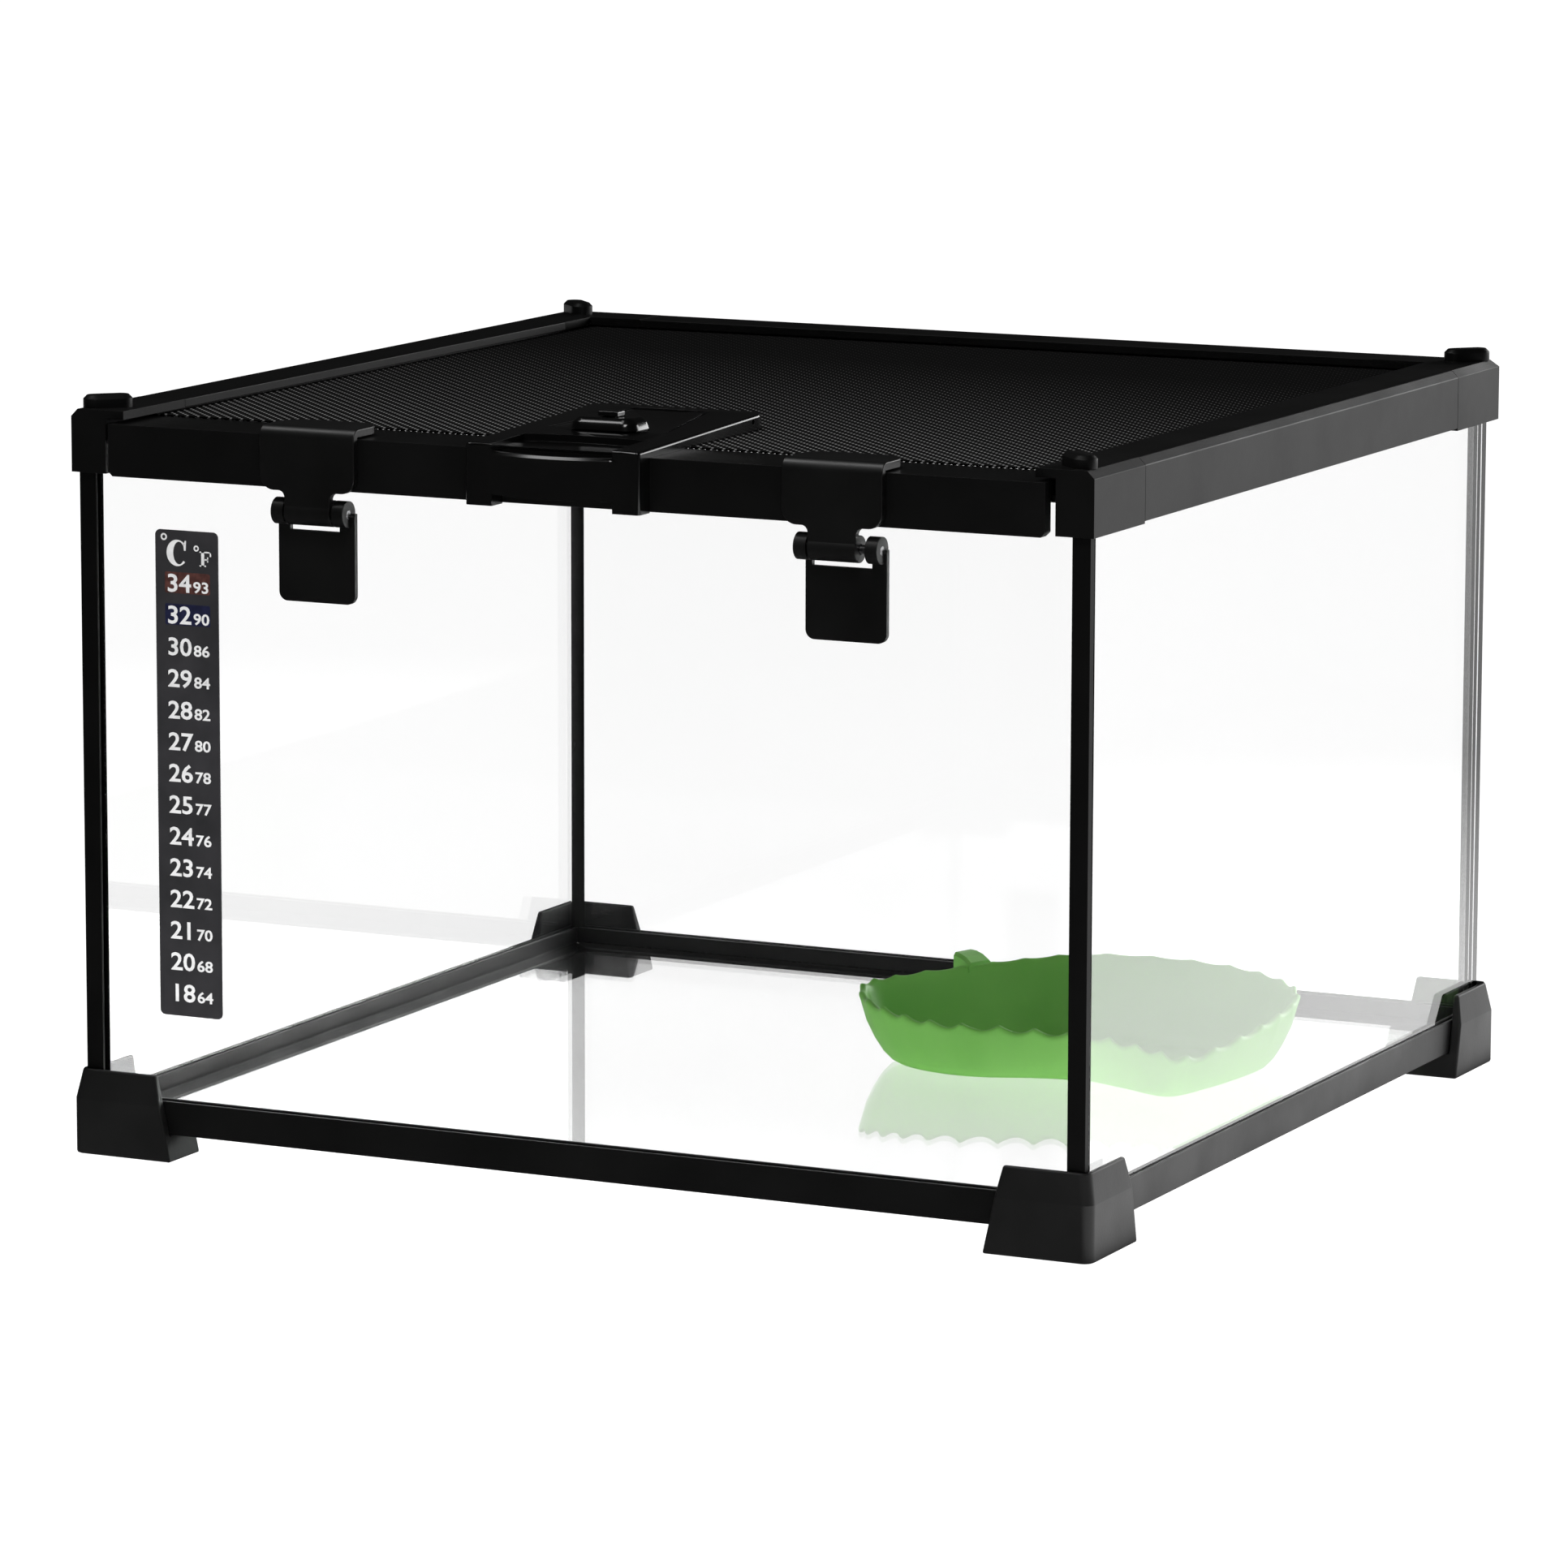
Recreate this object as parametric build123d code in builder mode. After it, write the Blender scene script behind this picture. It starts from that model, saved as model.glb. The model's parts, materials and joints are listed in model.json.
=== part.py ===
from build123d import *
import os
from math import hypot

os.makedirs("parts", exist_ok=True)

# Glass small-animal tank with a sliding mesh lid. Millimetres, X across the front,
# Y towards the back, Z up from the table, origin under the middle of the glass box.

# Top frame, measured over the corner caps
tank_width = 294.0
tank_depth = 283.0
frame_top = 200.3
cap_height = 16.8
cap_length = 32.0
cap_block = 10.5
rail_shortfall = 0.6
flange_reach = 5.5
flange_thickness = 2.3
edge_chamfer = 2.0
lid_slot = 4.7
ledge_thickness = 1.5
ledge_setback = 3.0
frame_skin = 2.5
rail_wall = 2.0
tongue_length = 12.0
tongue_fit = 0.1

# Stacking nub on each cap, set towards its corner
nub_length = 13.2
nub_width = 6.5
nub_height = 3.4
nub_inset = 7.1
nub_chamfer = 1.0

# Glass panes and the grooves that hold them
glass = 4.0
floor_glass = 4.0
glass_fit = 0.05
glass_head_gap = 0.3

# Bottom rails, feet and corner strips
base_skin = 1.0
base_lip = 1.0
base_web = 1.0
base_shelf = 6.0
base_rail_bottom = 7.0
base_rail_height = 9.0
foot_wall = 3.0
foot_length = 30.0
foot_arm = 16.0
foot_height = 23.0
foot_break = 15.0
foot_taper = 1.5
foot_end_slope = 5.0
foot_corner_radius = 3.0
front_strip_face = 5.0
front_strip_side = 2.5
seal_leg = 2.9
seal_hollow = 0.4

# Thermometer strip on the front pane
strip_width = 19.0
strip_height = 130.0
strip_thickness = 0.4
strip_inset = 21.5
strip_bottom = 39.5
strip_corner_radius = 1.5

# Sliding lid
lid_gap = 0.3
lid_side_gap = 0.3
lid_bar_width = 4.7
mesh_seat = 3.2
mesh_seat_width = 2.2
mesh_edge_gap = 0.3
mesh_thickness = 0.6
mesh_pitch = 15.4
mesh_hole = 13.0
mesh_border = 3.0
mesh_seam = 0.05
lid_rail_gap = 1.9
lid_rail_proud = 2.0
lid_rail_wall = 3.6
lid_rail_depth = 21.5
lid_rail_height = 13.8
lid_rail_top_gap = 1.0
lid_rail_chamfer = 1.2

# Feeding hatch at the middle of the lid's front
bezel_width = 50.0
bezel_length = 67.5
bezel_front_height = 2.0
bezel_back_height = 4.7
bezel_corner_radius = 5.0
bezel_edge_round = 0.8
leg_width = 7.7
leg_depth = 6.0
leg_overhang = 0.3
leg_round = 1.0
handle_height = 11.0
handle_drop = 2.0
handle_bow = 3.5
handle_wall = 2.0
scoop_depth = 1.4
scoop_reach = 12.0
scoop_bow = 2.0
recess_width = 34.0
recess_back_width = 22.0
recess_length = 37.0
recess_from_back = 5.0
window_width = 19.5
window_length = 27.0
window_from_back = 12.0
door_seat = 0.9
door_gap = 0.2
door_edge_gap = 0.55
door_flush = 0.15
door_hinge_from_back = 8.0
door_barrel_radius = 1.4
door_barrel_length = 20.0
door_pin_radius = 0.7
door_pin_recess = 0.5
pin_clearance = 0.05

# Latch on the feeding door
latch_width = 19.5
latch_length = 12.4
latch_height = 2.9
latch_overhang = 5.0
latch_gap = 0.4
latch_corner_radius = 4.0
latch_shoulder = 1.7
latch_shoulder_inset = 0.6
latch_crown_inset = 2.2
latch_foot_width = 16.0
slot_width = 3.2
slot_length = 7.6
slot_depth = 1.9
slot_from_back = 1.3
slider_fit = 0.2
slider_stem = 2.0
slider_rest = 3.2
slider_width = 5.8
slider_length = 4.2
slider_thickness = 1.3
slider_round = 0.5

# Lid clips
clip_left = 73.5
clip_right = 77.2
hook_width = 28.0
hook_thickness = 2.2
hook_gap = 0.2
hook_top_gap = 0.4
hook_lip = 17.0
hook_plate_height = 16.8
hook_bend = 3.0
hook_corner_radius = 4.0
lip_corner_radius = 8.0
neck_width = 13.5
neck_fillet = 1.8
knuckle_radius = 3.5
knuckle_length = 3.4
knuckle_gap = 0.4
knuckle_glass_gap = 0.3
clip_pin_radius = 1.2
clip_pin_drop = 6.0
lever_width = 22.6
lever_thickness = 1.5
lever_length = 23.8
left_lever_play = 0.2
left_lever_shift = 0.6
right_lever_play = 2.2
right_lever_shift = 2.2
lever_corner_radius = 2.5
slot_gap = 0.1
slot_height = 2.6
pad_thickness = 1.0
pad_margin = 1.2
pad_gap = 0.3

# Loose leaf-shaped food dish on the floor glass
dish_x = 70.0
dish_y = 30.0
dish_outline = [
    (45.0, -40.0),
    (57.0, -8.0),
    (54.0, 27.0),
    (25.0, 37.0),
    (-14.0, 34.0),
    (-39.0, 18.0),
    (-62.0, -9.0),
    (-28.0, -20.5),
    (8.0, -29.0),
]
dish_rim = 20.5
dish_rim_rise = 0.13
dish_rim_fall = 0.04
dish_flare = 8.0
dish_belly = 2.5
dish_belly_height = 7.0
dish_wall = 2.2
dish_floor = 2.0
dish_lift = 0.05
dish_headroom = 12.0
scallop_count = 24
scallop_start = 0.66
scallop_span = 0.6
scallop_radius = 6.0
scallop_depth = 1.3
stem_place = 5
stem_width = 8.0
stem_length = 6.0
stem_height = 6.5
stem_rise = 2.4

# Places worked out from the sizes above
half_width = tank_width / 2
half_depth = tank_depth / 2
glass_x = half_width - frame_skin
glass_y = half_depth - frame_skin
cap_bottom = frame_top - cap_height
rail_bottom = cap_bottom + rail_shortfall
flange_bottom = frame_top - flange_thickness
ledge_top = flange_bottom - lid_slot
ledge_bottom = ledge_top - ledge_thickness
flange_inner = cap_block + flange_reach
glass_top = ledge_bottom - glass_head_gap
glass_bottom = base_rail_bottom + base_web
floor_top = glass_bottom + floor_glass
base_x = glass_x + base_skin
base_y = glass_y + base_skin
base_top = base_rail_bottom + base_rail_height
foot_x = base_x + foot_wall
foot_y = base_y + foot_wall
lid_x = half_width - cap_block - lid_side_gap
lid_back = half_depth - cap_block - lid_side_gap
lid_bar_bottom = ledge_top + lid_gap
lid_bar_top = flange_bottom - lid_gap
lid_bar_inner = lid_x - lid_bar_width
lid_face = -half_depth - lid_rail_proud
lid_front = lid_face + lid_rail_depth
lid_top = flange_bottom - lid_rail_top_gap
lid_bottom = lid_top - lid_rail_height
mesh_bottom = lid_bar_bottom + mesh_seat
mesh_top = mesh_bottom + mesh_thickness
mesh_x = lid_x - lid_bar_width + mesh_seat_width - mesh_edge_gap
mesh_back = lid_back - lid_bar_width + mesh_seat_width - mesh_edge_gap
mesh_front = lid_front + mesh_edge_gap
lid_rail_back = lid_front + mesh_seat_width
bezel_front = lid_face - leg_depth
bezel_back = lid_face + bezel_length
bezel_slope = (bezel_back_height - bezel_front_height) / (bezel_back - bezel_front)
window_back = bezel_back - window_from_back
window_front = window_back - window_length
recess_back = bezel_back - recess_from_back
recess_front = recess_back - recess_length
recess_floor = mesh_top + door_seat
door_bottom = recess_floor + door_gap
hinge_y = bezel_back - door_hinge_from_back
hinge_z = door_bottom + door_barrel_radius
door_front = recess_front + door_edge_gap


def save(piece, name):
    """Label one finished piece and write it as its own file."""
    piece.part.label = name
    export_step(piece.part, f"parts/{name}.step")


def bezel_top(y):
    """Height of the hatch's sloping top at one place along its length."""
    return lid_top + bezel_front_height + bezel_slope * (y - bezel_front)


def door_top(y):
    """Height of the feeding door's top, a little below the hatch round it."""
    return bezel_top(y) - door_flush


def side_name(side_x, side_y):
    """Plain words for one corner of the tank."""
    return ("front" if side_y < 0 else "back") + ("_left" if side_x < 0 else "_right")


def block(first, second, mode=Mode.ADD):
    """Add or cut a block between two opposite corners, in the part at hand."""
    low = tuple(min(a, b) for a, b in zip(first, second))
    size = [abs(b - a) for a, b in zip(first, second)]
    with Locations(low):
        Box(*size, align=(Align.MIN, Align.MIN, Align.MIN), mode=mode)


corners = [(-1, -1), (1, -1), (-1, 1), (1, 1)]


# Feet: L-shaped cups under the four corners, tapered at the top and at the arm ends
def foot(side_x, side_y):
    """One foot, drawn from its outer corner with both arms pointing inwards."""
    inward = (-side_x, 0, 0) if side_x == side_y else (0, -side_y, 0)
    corner = Plane(origin=(side_x * foot_x, side_y * foot_y, 0), x_dir=inward, z_dir=(0, 0, 1))
    levels = [
        (0, 0, 0),
        (foot_break, 0, foot_end_slope * foot_break / foot_height),
        (foot_height, foot_taper, foot_end_slope),
    ]
    with BuildPart() as piece:
        for height, inset, end_inset in levels:
            reach = foot_length - end_inset
            with BuildSketch(corner.offset(height)):
                with BuildLine():
                    Polyline(
                        (inset, inset),
                        (reach, inset),
                        (reach, foot_arm),
                        (foot_arm, foot_arm),
                        (foot_arm, reach),
                        (inset, reach),
                        close=True,
                    )
                make_face()
                fillet(vertices().sort_by_distance((0, 0, 0))[0], radius=foot_corner_radius)
        loft(ruled=True)
        with BuildSketch(corner.offset(base_rail_bottom)):
            with Locations((foot_wall, foot_wall)):
                Rectangle(foot_length, foot_length, align=(Align.MIN, Align.MIN))
        extrude(amount=foot_height, mode=Mode.SUBTRACT)
    save(piece, f"foot_{side_name(side_x, side_y)}")


for side_x, side_y in corners:
    foot(side_x, side_y)


# Bottom rails: a channel for the pane and a shelf for the floor glass, mitred at the corners
base_profile = [
    (0, base_rail_bottom),
    (0, base_top),
    (base_skin, base_top),
    (base_skin, glass_bottom),
    (base_skin + glass, glass_bottom),
    (base_skin + glass, base_top),
    (base_skin + glass + base_lip, base_top),
    (base_skin + glass + base_lip, glass_bottom),
    (base_skin + glass + base_lip + base_shelf, glass_bottom),
    (base_skin + glass + base_lip + base_shelf, base_rail_bottom),
]


def base_rail(name, along_x, side):
    """One bottom rail along X or Y, on the side given by its sign."""
    outer = base_y if along_x else base_x
    half_run = base_x if along_x else base_y
    with BuildPart() as piece:
        with BuildSketch(Plane.YZ if along_x else Plane.XZ):
            with BuildLine():
                Polyline(*[(side * (outer - u), z) for u, z in base_profile], close=True)
            make_face()
        extrude(amount=half_run, both=True)
        for end in (-1, 1):
            corner = (end * half_run, side * outer, 0) if along_x else (side * outer, end * half_run, 0)
            slant = (end, -side, 0) if along_x else (-side, end, 0)
            split(bisect_by=Plane(origin=corner, z_dir=slant), keep=Keep.BOTTOM)
    save(piece, name)


base_rail("bottom_rail_front", True, -1)
base_rail("bottom_rail_back", True, 1)
base_rail("bottom_rail_left", False, -1)
base_rail("bottom_rail_right", False, 1)

# Glass panes: front and back run full width, the side panes stand between them
side_pane_y = glass_y - glass
floor_x = glass_x - glass - base_lip
floor_y = glass_y - glass - base_lip
for side, name in ((-1, "glass_front"), (1, "glass_back")):
    with BuildPart() as pane:
        block(
            (-glass_x, side * glass_y, glass_bottom), (glass_x, side * side_pane_y, glass_top)
        )
    save(pane, name)
for side, name in ((-1, "glass_left"), (1, "glass_right")):
    with BuildPart() as pane:
        block(
            (side * glass_x, -side_pane_y, glass_bottom),
            (side * (glass_x - glass), side_pane_y, glass_top),
        )
    save(pane, name)
with BuildPart() as floor_pane:
    block((-floor_x, -floor_y, glass_bottom), (floor_x, floor_y, floor_top))
save(floor_pane, "glass_floor")


# Corner strips: thin angles over the front corners of the glass and seal beads inside the back corners
def corner_strip(side_x):
    """One angle strip over a front corner, from bottom rail to corner cap."""
    with BuildPart() as piece:
        block(
            (side_x * base_x, -base_y, base_top),
            (side_x * (base_x - front_strip_face), -glass_y, cap_bottom),
        )
        block(
            (side_x * base_x, -base_y, base_top),
            (side_x * glass_x, front_strip_side - base_y, cap_bottom),
        )
    save(piece, f"corner_strip_{side_name(side_x, -1)}")


def corner_seal(side_x):
    """One seal bead in a back corner, with a hollow face towards the tank."""
    seat_x = glass_x - glass - glass_fit
    seat_y = glass_y - glass - glass_fit
    middle = seal_leg / 2 - seal_hollow
    along_back = (side_x * (seat_x - seal_leg), seat_y)
    along_side = (side_x * seat_x, seat_y - seal_leg)
    with BuildPart() as piece:
        with BuildSketch(Plane.XY.offset(base_top)):
            with BuildLine():
                Polyline(along_back, (side_x * seat_x, seat_y), along_side)
                ThreePointArc(along_back, (side_x * (seat_x - middle), seat_y - middle), along_side)
            make_face()
        extrude(amount=cap_bottom - base_top)
    save(piece, f"corner_strip_{side_name(side_x, 1)}")


for side_x in (-1, 1):
    corner_strip(side_x)
    corner_seal(side_x)

# Stick-on thermometer strip at the left of the front pane
with BuildPart() as thermometer:
    with BuildSketch(Plane.XZ.offset(glass_y)):
        with Locations((strip_inset - glass_x, strip_bottom)):
            Rectangle(strip_width, strip_height, align=(Align.MIN, Align.MIN))
        fillet(vertices(), radius=strip_corner_radius)
    extrude(amount=strip_thickness)
save(thermometer, "thermometer_strip")

# Top frame section: hollow box over the glass edge, lid slot between a ledge and a flange
def frame_section(bottom):
    """Outline of the top frame, as distance in from the outer face and height."""
    return [
        (0, bottom),
        (0, frame_top - edge_chamfer),
        (edge_chamfer, frame_top),
        (flange_inner, frame_top),
        (flange_inner, flange_bottom),
        (cap_block, flange_bottom),
        (cap_block, ledge_top),
        (flange_inner, ledge_top),
        (flange_inner, ledge_bottom),
        (cap_block, ledge_bottom),
        (cap_block, bottom),
    ]


def top_rail(name, along_x, side):
    """One fixed top rail between two corner caps."""
    outer = half_depth if along_x else half_width
    half_run = (half_width if along_x else half_depth) - cap_length
    with BuildPart() as piece:
        with BuildSketch(Plane.YZ if along_x else Plane.XZ):
            with BuildLine():
                points = [(side * (outer - u), z) for u, z in frame_section(rail_bottom)]
                Polyline(*points, close=True)
            make_face()
            hollow = cap_block - 2 * rail_wall
            with Locations((side * (outer - rail_wall - hollow / 2), (ledge_top + flange_bottom) / 2)):
                Rectangle(hollow, lid_slot, mode=Mode.SUBTRACT)
            with Locations((side * (outer - frame_skin - glass / 2), (rail_bottom + ledge_bottom) / 2)):
                Rectangle(glass + 2 * glass_fit, ledge_bottom - rail_bottom, mode=Mode.SUBTRACT)
        extrude(amount=half_run, both=True)
    save(piece, name)


top_rail("top_rail_left", False, -1)
top_rail("top_rail_right", False, 1)
top_rail("top_rail_back", True, 1)


# Corner caps: the same section, closed at the outer end, with a plug for each rail
def cap_arm(along_x, side, across, length):
    """One arm of a cap: its outer face on one side, its end at the tank's outer corner."""
    outer = half_depth if along_x else half_width
    end = half_width if along_x else half_depth
    points = [(side * (outer - u), z) for u, z in frame_section(cap_bottom)]
    base = Plane.YZ if along_x else Plane.XZ
    away = 1 if along_x else -1
    with BuildSketch(base.offset(away * across * end)) as section:
        with BuildLine():
            Polyline(*points, close=True)
        make_face()
    extrude(section.sketch, amount=-away * across * length)


def cap_tongue(along_x, side, across):
    """Plug that reaches from an arm's inner end into the hollow of its rail."""
    outer = half_depth if along_x else half_width
    end = (half_width if along_x else half_depth) - cap_length
    near = (rail_wall + tongue_fit, ledge_top + tongue_fit)
    far = (cap_block - rail_wall - tongue_fit, flange_bottom - tongue_fit)
    start = across * end
    stop = across * (end - tongue_length)
    if along_x:
        block((start, side * (outer - near[0]), near[1]), (stop, side * (outer - far[0]), far[1]))
    else:
        block((side * (outer - near[0]), start, near[1]), (side * (outer - far[0]), stop, far[1]))


def corner_cap(side_x, side_y):
    """One corner cap; the back pair turn the corner, the front pair end at the lid."""
    turns = side_y > 0
    with BuildPart() as piece:
        cap_arm(False, side_x, side_y, cap_length)
        if turns:
            cap_arm(True, side_y, side_x, cap_length)
            outer_edge = half_width - edge_chamfer
            with BuildSketch(Plane.XZ.offset(-half_depth)):
                with BuildLine():
                    Polyline(
                        (side_x * half_width, frame_top),
                        (side_x * half_width, frame_top - edge_chamfer),
                        (side_x * outer_edge, frame_top),
                        close=True,
                    )
                make_face()
            extrude(amount=cap_length, mode=Mode.SUBTRACT)
            with BuildSketch(Plane.YZ.offset(side_x * half_width)):
                with BuildLine():
                    Polyline(
                        (half_depth, frame_top),
                        (half_depth, frame_top - edge_chamfer),
                        (half_depth - edge_chamfer, frame_top),
                        close=True,
                    )
                make_face()
            extrude(amount=-side_x * cap_length, mode=Mode.SUBTRACT)
            cap_tongue(True, side_y, side_x)
        else:
            block(
                (side_x * (half_width - cap_block), -half_depth, ledge_bottom),
                (side_x * (half_width - flange_inner), ledge_setback - half_depth, flange_bottom),
                mode=Mode.SUBTRACT,
            )
        cap_tongue(False, side_x, side_y)
        groove_x = (glass_x + glass_fit, glass_x - glass - glass_fit)
        groove_y = (glass_y + glass_fit, glass_y - glass - glass_fit)
        reach = half_width - (cap_length if turns else cap_block)
        block(
            (side_x * groove_x[0], side_y * groove_y[0], cap_bottom),
            (side_x * groove_x[1], side_y * (half_depth - cap_length), ledge_bottom),
            mode=Mode.SUBTRACT,
        )
        block(
            (side_x * groove_x[0], side_y * groove_y[0], cap_bottom),
            (side_x * reach, side_y * groove_y[1], ledge_bottom),
            mode=Mode.SUBTRACT,
        )
        nub_place = (side_x * (half_width - nub_inset), side_y * (half_depth - nub_inset))
        with BuildSketch(Plane.XY.offset(frame_top)):
            with Locations(nub_place):
                SlotOverall(nub_length, nub_width, rotation=45 * side_x * side_y)
        extrude(amount=nub_height)
        chamfer(edges().group_by(Axis.Z)[-1], length=nub_chamfer)
    save(piece, f"corner_cap_{side_name(side_x, side_y)}")


for side_x, side_y in corners:
    corner_cap(side_x, side_y)

# Sliding lid: front rail, two side bars, back bar and the mesh that they carry
with BuildPart() as lid_rail:
    rail_x = half_width - cap_block - lid_rail_gap
    with BuildSketch(Plane.YZ):
        with BuildLine():
            Polyline(
                (lid_face, lid_bottom),
                (lid_face, lid_top),
                (lid_front, lid_top),
                (lid_front, mesh_bottom),
                (lid_rail_back, mesh_bottom),
                (lid_rail_back, lid_bar_bottom),
                (lid_face + lid_rail_wall, lid_bar_bottom),
                (lid_face + lid_rail_wall, lid_bottom),
                close=True,
            )
        make_face()
    extrude(amount=rail_x, both=True)
    lower_ends = edges().filter_by(Axis.Y).group_by(Axis.Z)[0]
    chamfer(lower_ends, length=lid_rail_chamfer)
save(lid_rail, "lid_front_rail")

for side, name in ((-1, "lid_side_bar_left"), (1, "lid_side_bar_right")):
    with BuildPart() as bar:
        bar_end = lid_back - lid_bar_width
        block(
            (side * lid_bar_inner, lid_rail_back, lid_bar_bottom), (side * lid_x, bar_end, mesh_bottom)
        )
        block(
            (side * (lid_bar_inner + mesh_seat_width), lid_rail_back, mesh_bottom),
            (side * lid_x, bar_end, lid_bar_top),
        )
    save(bar, name)

with BuildPart() as back_bar:
    block((-lid_x, lid_back - lid_bar_width, lid_bar_bottom), (lid_x, lid_back, mesh_bottom))
    block(
        (-lid_x, lid_back - lid_bar_width + mesh_seat_width, mesh_bottom), (lid_x, lid_back, lid_bar_top)
    )
save(back_bar, "lid_back_bar")

# Mesh screen: a net laid as four plain fields round the window under the feeding door, a hair apart
def lies_in(spot, field):
    """Whether one mesh hole lies inside a field and leaves half a bar at its edges."""
    left, right, front, back = field
    reach = mesh_pitch / 2 - 2 * mesh_seam
    return left + reach < spot[0] < right - reach and front + reach < spot[1] < back - reach


mesh_middle = (mesh_front + mesh_back) / 2
across = int((2 * (lid_bar_inner - mesh_border)) // mesh_pitch)
along = int((mesh_back - mesh_front - lid_bar_width - 2 * mesh_border) // mesh_pitch)
columns = [mesh_pitch * (k - (across - 1) / 2) for k in range(across)]
rows = [mesh_middle + mesh_pitch * (k - (along - 1) / 2) for k in range(along)]
grid = [(x, y) for x in columns for y in rows]
cut_back = min(row + mesh_pitch / 2 for row in rows if row + mesh_pitch / 2 >= window_back)
fields = [
    (-mesh_x, mesh_x, mesh_front, window_front - mesh_seam),
    (-mesh_x, mesh_x, cut_back + mesh_seam, mesh_back),
    (-mesh_x, -window_width / 2, window_front, cut_back),
    (window_width / 2, mesh_x, window_front, cut_back),
]
with BuildPart() as mesh:
    with BuildSketch(Plane.XY.offset(mesh_bottom)):
        for left, right, front, back in fields:
            with Locations(((left + right) / 2, (front + back) / 2)):
                Rectangle(right - left, back - front)
        with Locations(*[spot for spot in grid if any(lies_in(spot, field) for field in fields)]):
            Rectangle(mesh_hole, mesh_hole, mode=Mode.SUBTRACT)
    extrude(amount=mesh_thickness)
save(mesh, "mesh_screen")

# Feeding hatch: moulded bezel with legs over the front rail, bowed pull and a door recess
def recess_outline(gap):
    """Corners of the tapered recess that the feeding door lies in, less a gap all round."""
    front = recess_width / 2 - gap
    back = recess_back_width / 2 - gap
    near = recess_front + gap
    far = recess_back - gap
    return [(-front, near), (front, near), (back, far), (-back, far)]


with BuildPart() as bezel:
    grip_half = bezel_width / 2 - leg_width
    with BuildSketch(Plane.YZ):
        with BuildLine():
            Polyline(
                (bezel_front, lid_bottom - leg_overhang),
                (bezel_front, bezel_top(bezel_front)),
                (bezel_back, bezel_top(bezel_back)),
                (bezel_back, mesh_top),
                (lid_front, mesh_top),
                (lid_front, lid_top),
                (lid_face, lid_top),
                (lid_face, lid_bottom - leg_overhang),
                close=True,
            )
        make_face()
    extrude(amount=bezel_width / 2, both=True)
    back_corners = edges().filter_by(Axis.Z).group_by(Axis.Y)[-1]
    fillet(back_corners, radius=bezel_corner_radius)
    front_corners = edges().filter_by(Axis.Z).group_by(Axis.Y)[0]
    fillet(front_corners, radius=leg_round)
    fillet(faces().sort_by(Axis.Z)[-1].edges(), radius=bezel_edge_round)
    block(
        (-grip_half, bezel_front, lid_bottom - leg_overhang),
        (grip_half, lid_face, bezel_top(bezel_back)),
        mode=Mode.SUBTRACT,
    )
    handle_top = bezel_top(bezel_front) - handle_drop
    grip_end = grip_half + leg_round
    with BuildSketch(Plane.XY.offset(handle_top - handle_height)):
        with BuildLine():
            outer = ThreePointArc(
                (-grip_end, bezel_front), (0, bezel_front - handle_bow), (grip_end, bezel_front)
            )
            inner = ThreePointArc(
                (-grip_end, bezel_front + handle_wall),
                (0, bezel_front - handle_bow + handle_wall),
                (grip_end, bezel_front + handle_wall),
            )
            Line(outer @ 0, inner @ 0)
            Line(outer @ 1, inner @ 1)
        make_face()
    extrude(amount=handle_height)
    scoop_floor = bezel_top(lid_face) - scoop_depth
    with BuildSketch(Plane.XY.offset(scoop_floor)):
        with BuildLine():
            Polyline(
                (-grip_half, lid_face + scoop_reach), (-grip_half, lid_face), (grip_half, lid_face),
                (grip_half, lid_face + scoop_reach),
            )
            ThreePointArc(
                (-grip_half, lid_face + scoop_reach),
                (0, lid_face + scoop_reach + scoop_bow),
                (grip_half, lid_face + scoop_reach),
            )
        make_face()
    extrude(amount=bezel_top(bezel_back) - scoop_floor, mode=Mode.SUBTRACT)
    with BuildSketch(Plane.XY.offset(recess_floor)):
        with BuildLine():
            Polyline(*recess_outline(0), close=True)
        make_face()
    extrude(amount=bezel_top(bezel_back) - recess_floor, mode=Mode.SUBTRACT)
    block(
        (-window_width / 2, window_front, mesh_top),
        (window_width / 2, window_back, recess_floor),
        mode=Mode.SUBTRACT,
    )
    with BuildSketch(Plane.YZ.offset(-bezel_width / 2)):
        with Locations((hinge_y, hinge_z)):
            Circle(door_pin_radius + pin_clearance)
    extrude(amount=bezel_width, mode=Mode.SUBTRACT)
save(bezel, "hatch_bezel")

with BuildPart() as door_pin:
    with BuildSketch(Plane.YZ):
        with Locations((hinge_y, hinge_z)):
            Circle(door_pin_radius)
    extrude(amount=bezel_width / 2 - door_pin_recess, both=True)
save(door_pin, "door_hinge_pin")

# Feeding door: tapered flap, flush with the hatch's slope, with a hinge barrel at its back
with BuildPart() as door:
    with BuildSketch(Plane.YZ):
        with BuildLine():
            Polyline(
                (door_front, door_bottom),
                (door_front, door_top(door_front)),
                (hinge_y, door_top(hinge_y)),
                (hinge_y, door_bottom),
                close=True,
            )
        make_face()
    extrude(amount=recess_width / 2, both=True)
    with BuildSketch(Plane.XY.offset(door_bottom)):
        with BuildLine():
            Polyline(*recess_outline(door_edge_gap), close=True)
        make_face()
    extrude(amount=door_top(hinge_y) - door_bottom, mode=Mode.INTERSECT)
    with BuildSketch(Plane.YZ):
        with Locations((hinge_y, hinge_z)):
            Circle(door_barrel_radius)
    extrude(amount=door_barrel_length / 2, both=True)
    with BuildSketch(Plane.YZ):
        with Locations((hinge_y, hinge_z)):
            Circle(door_pin_radius + pin_clearance)
    extrude(amount=recess_width, both=True, mode=Mode.SUBTRACT)
save(door, "feed_door")

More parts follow.
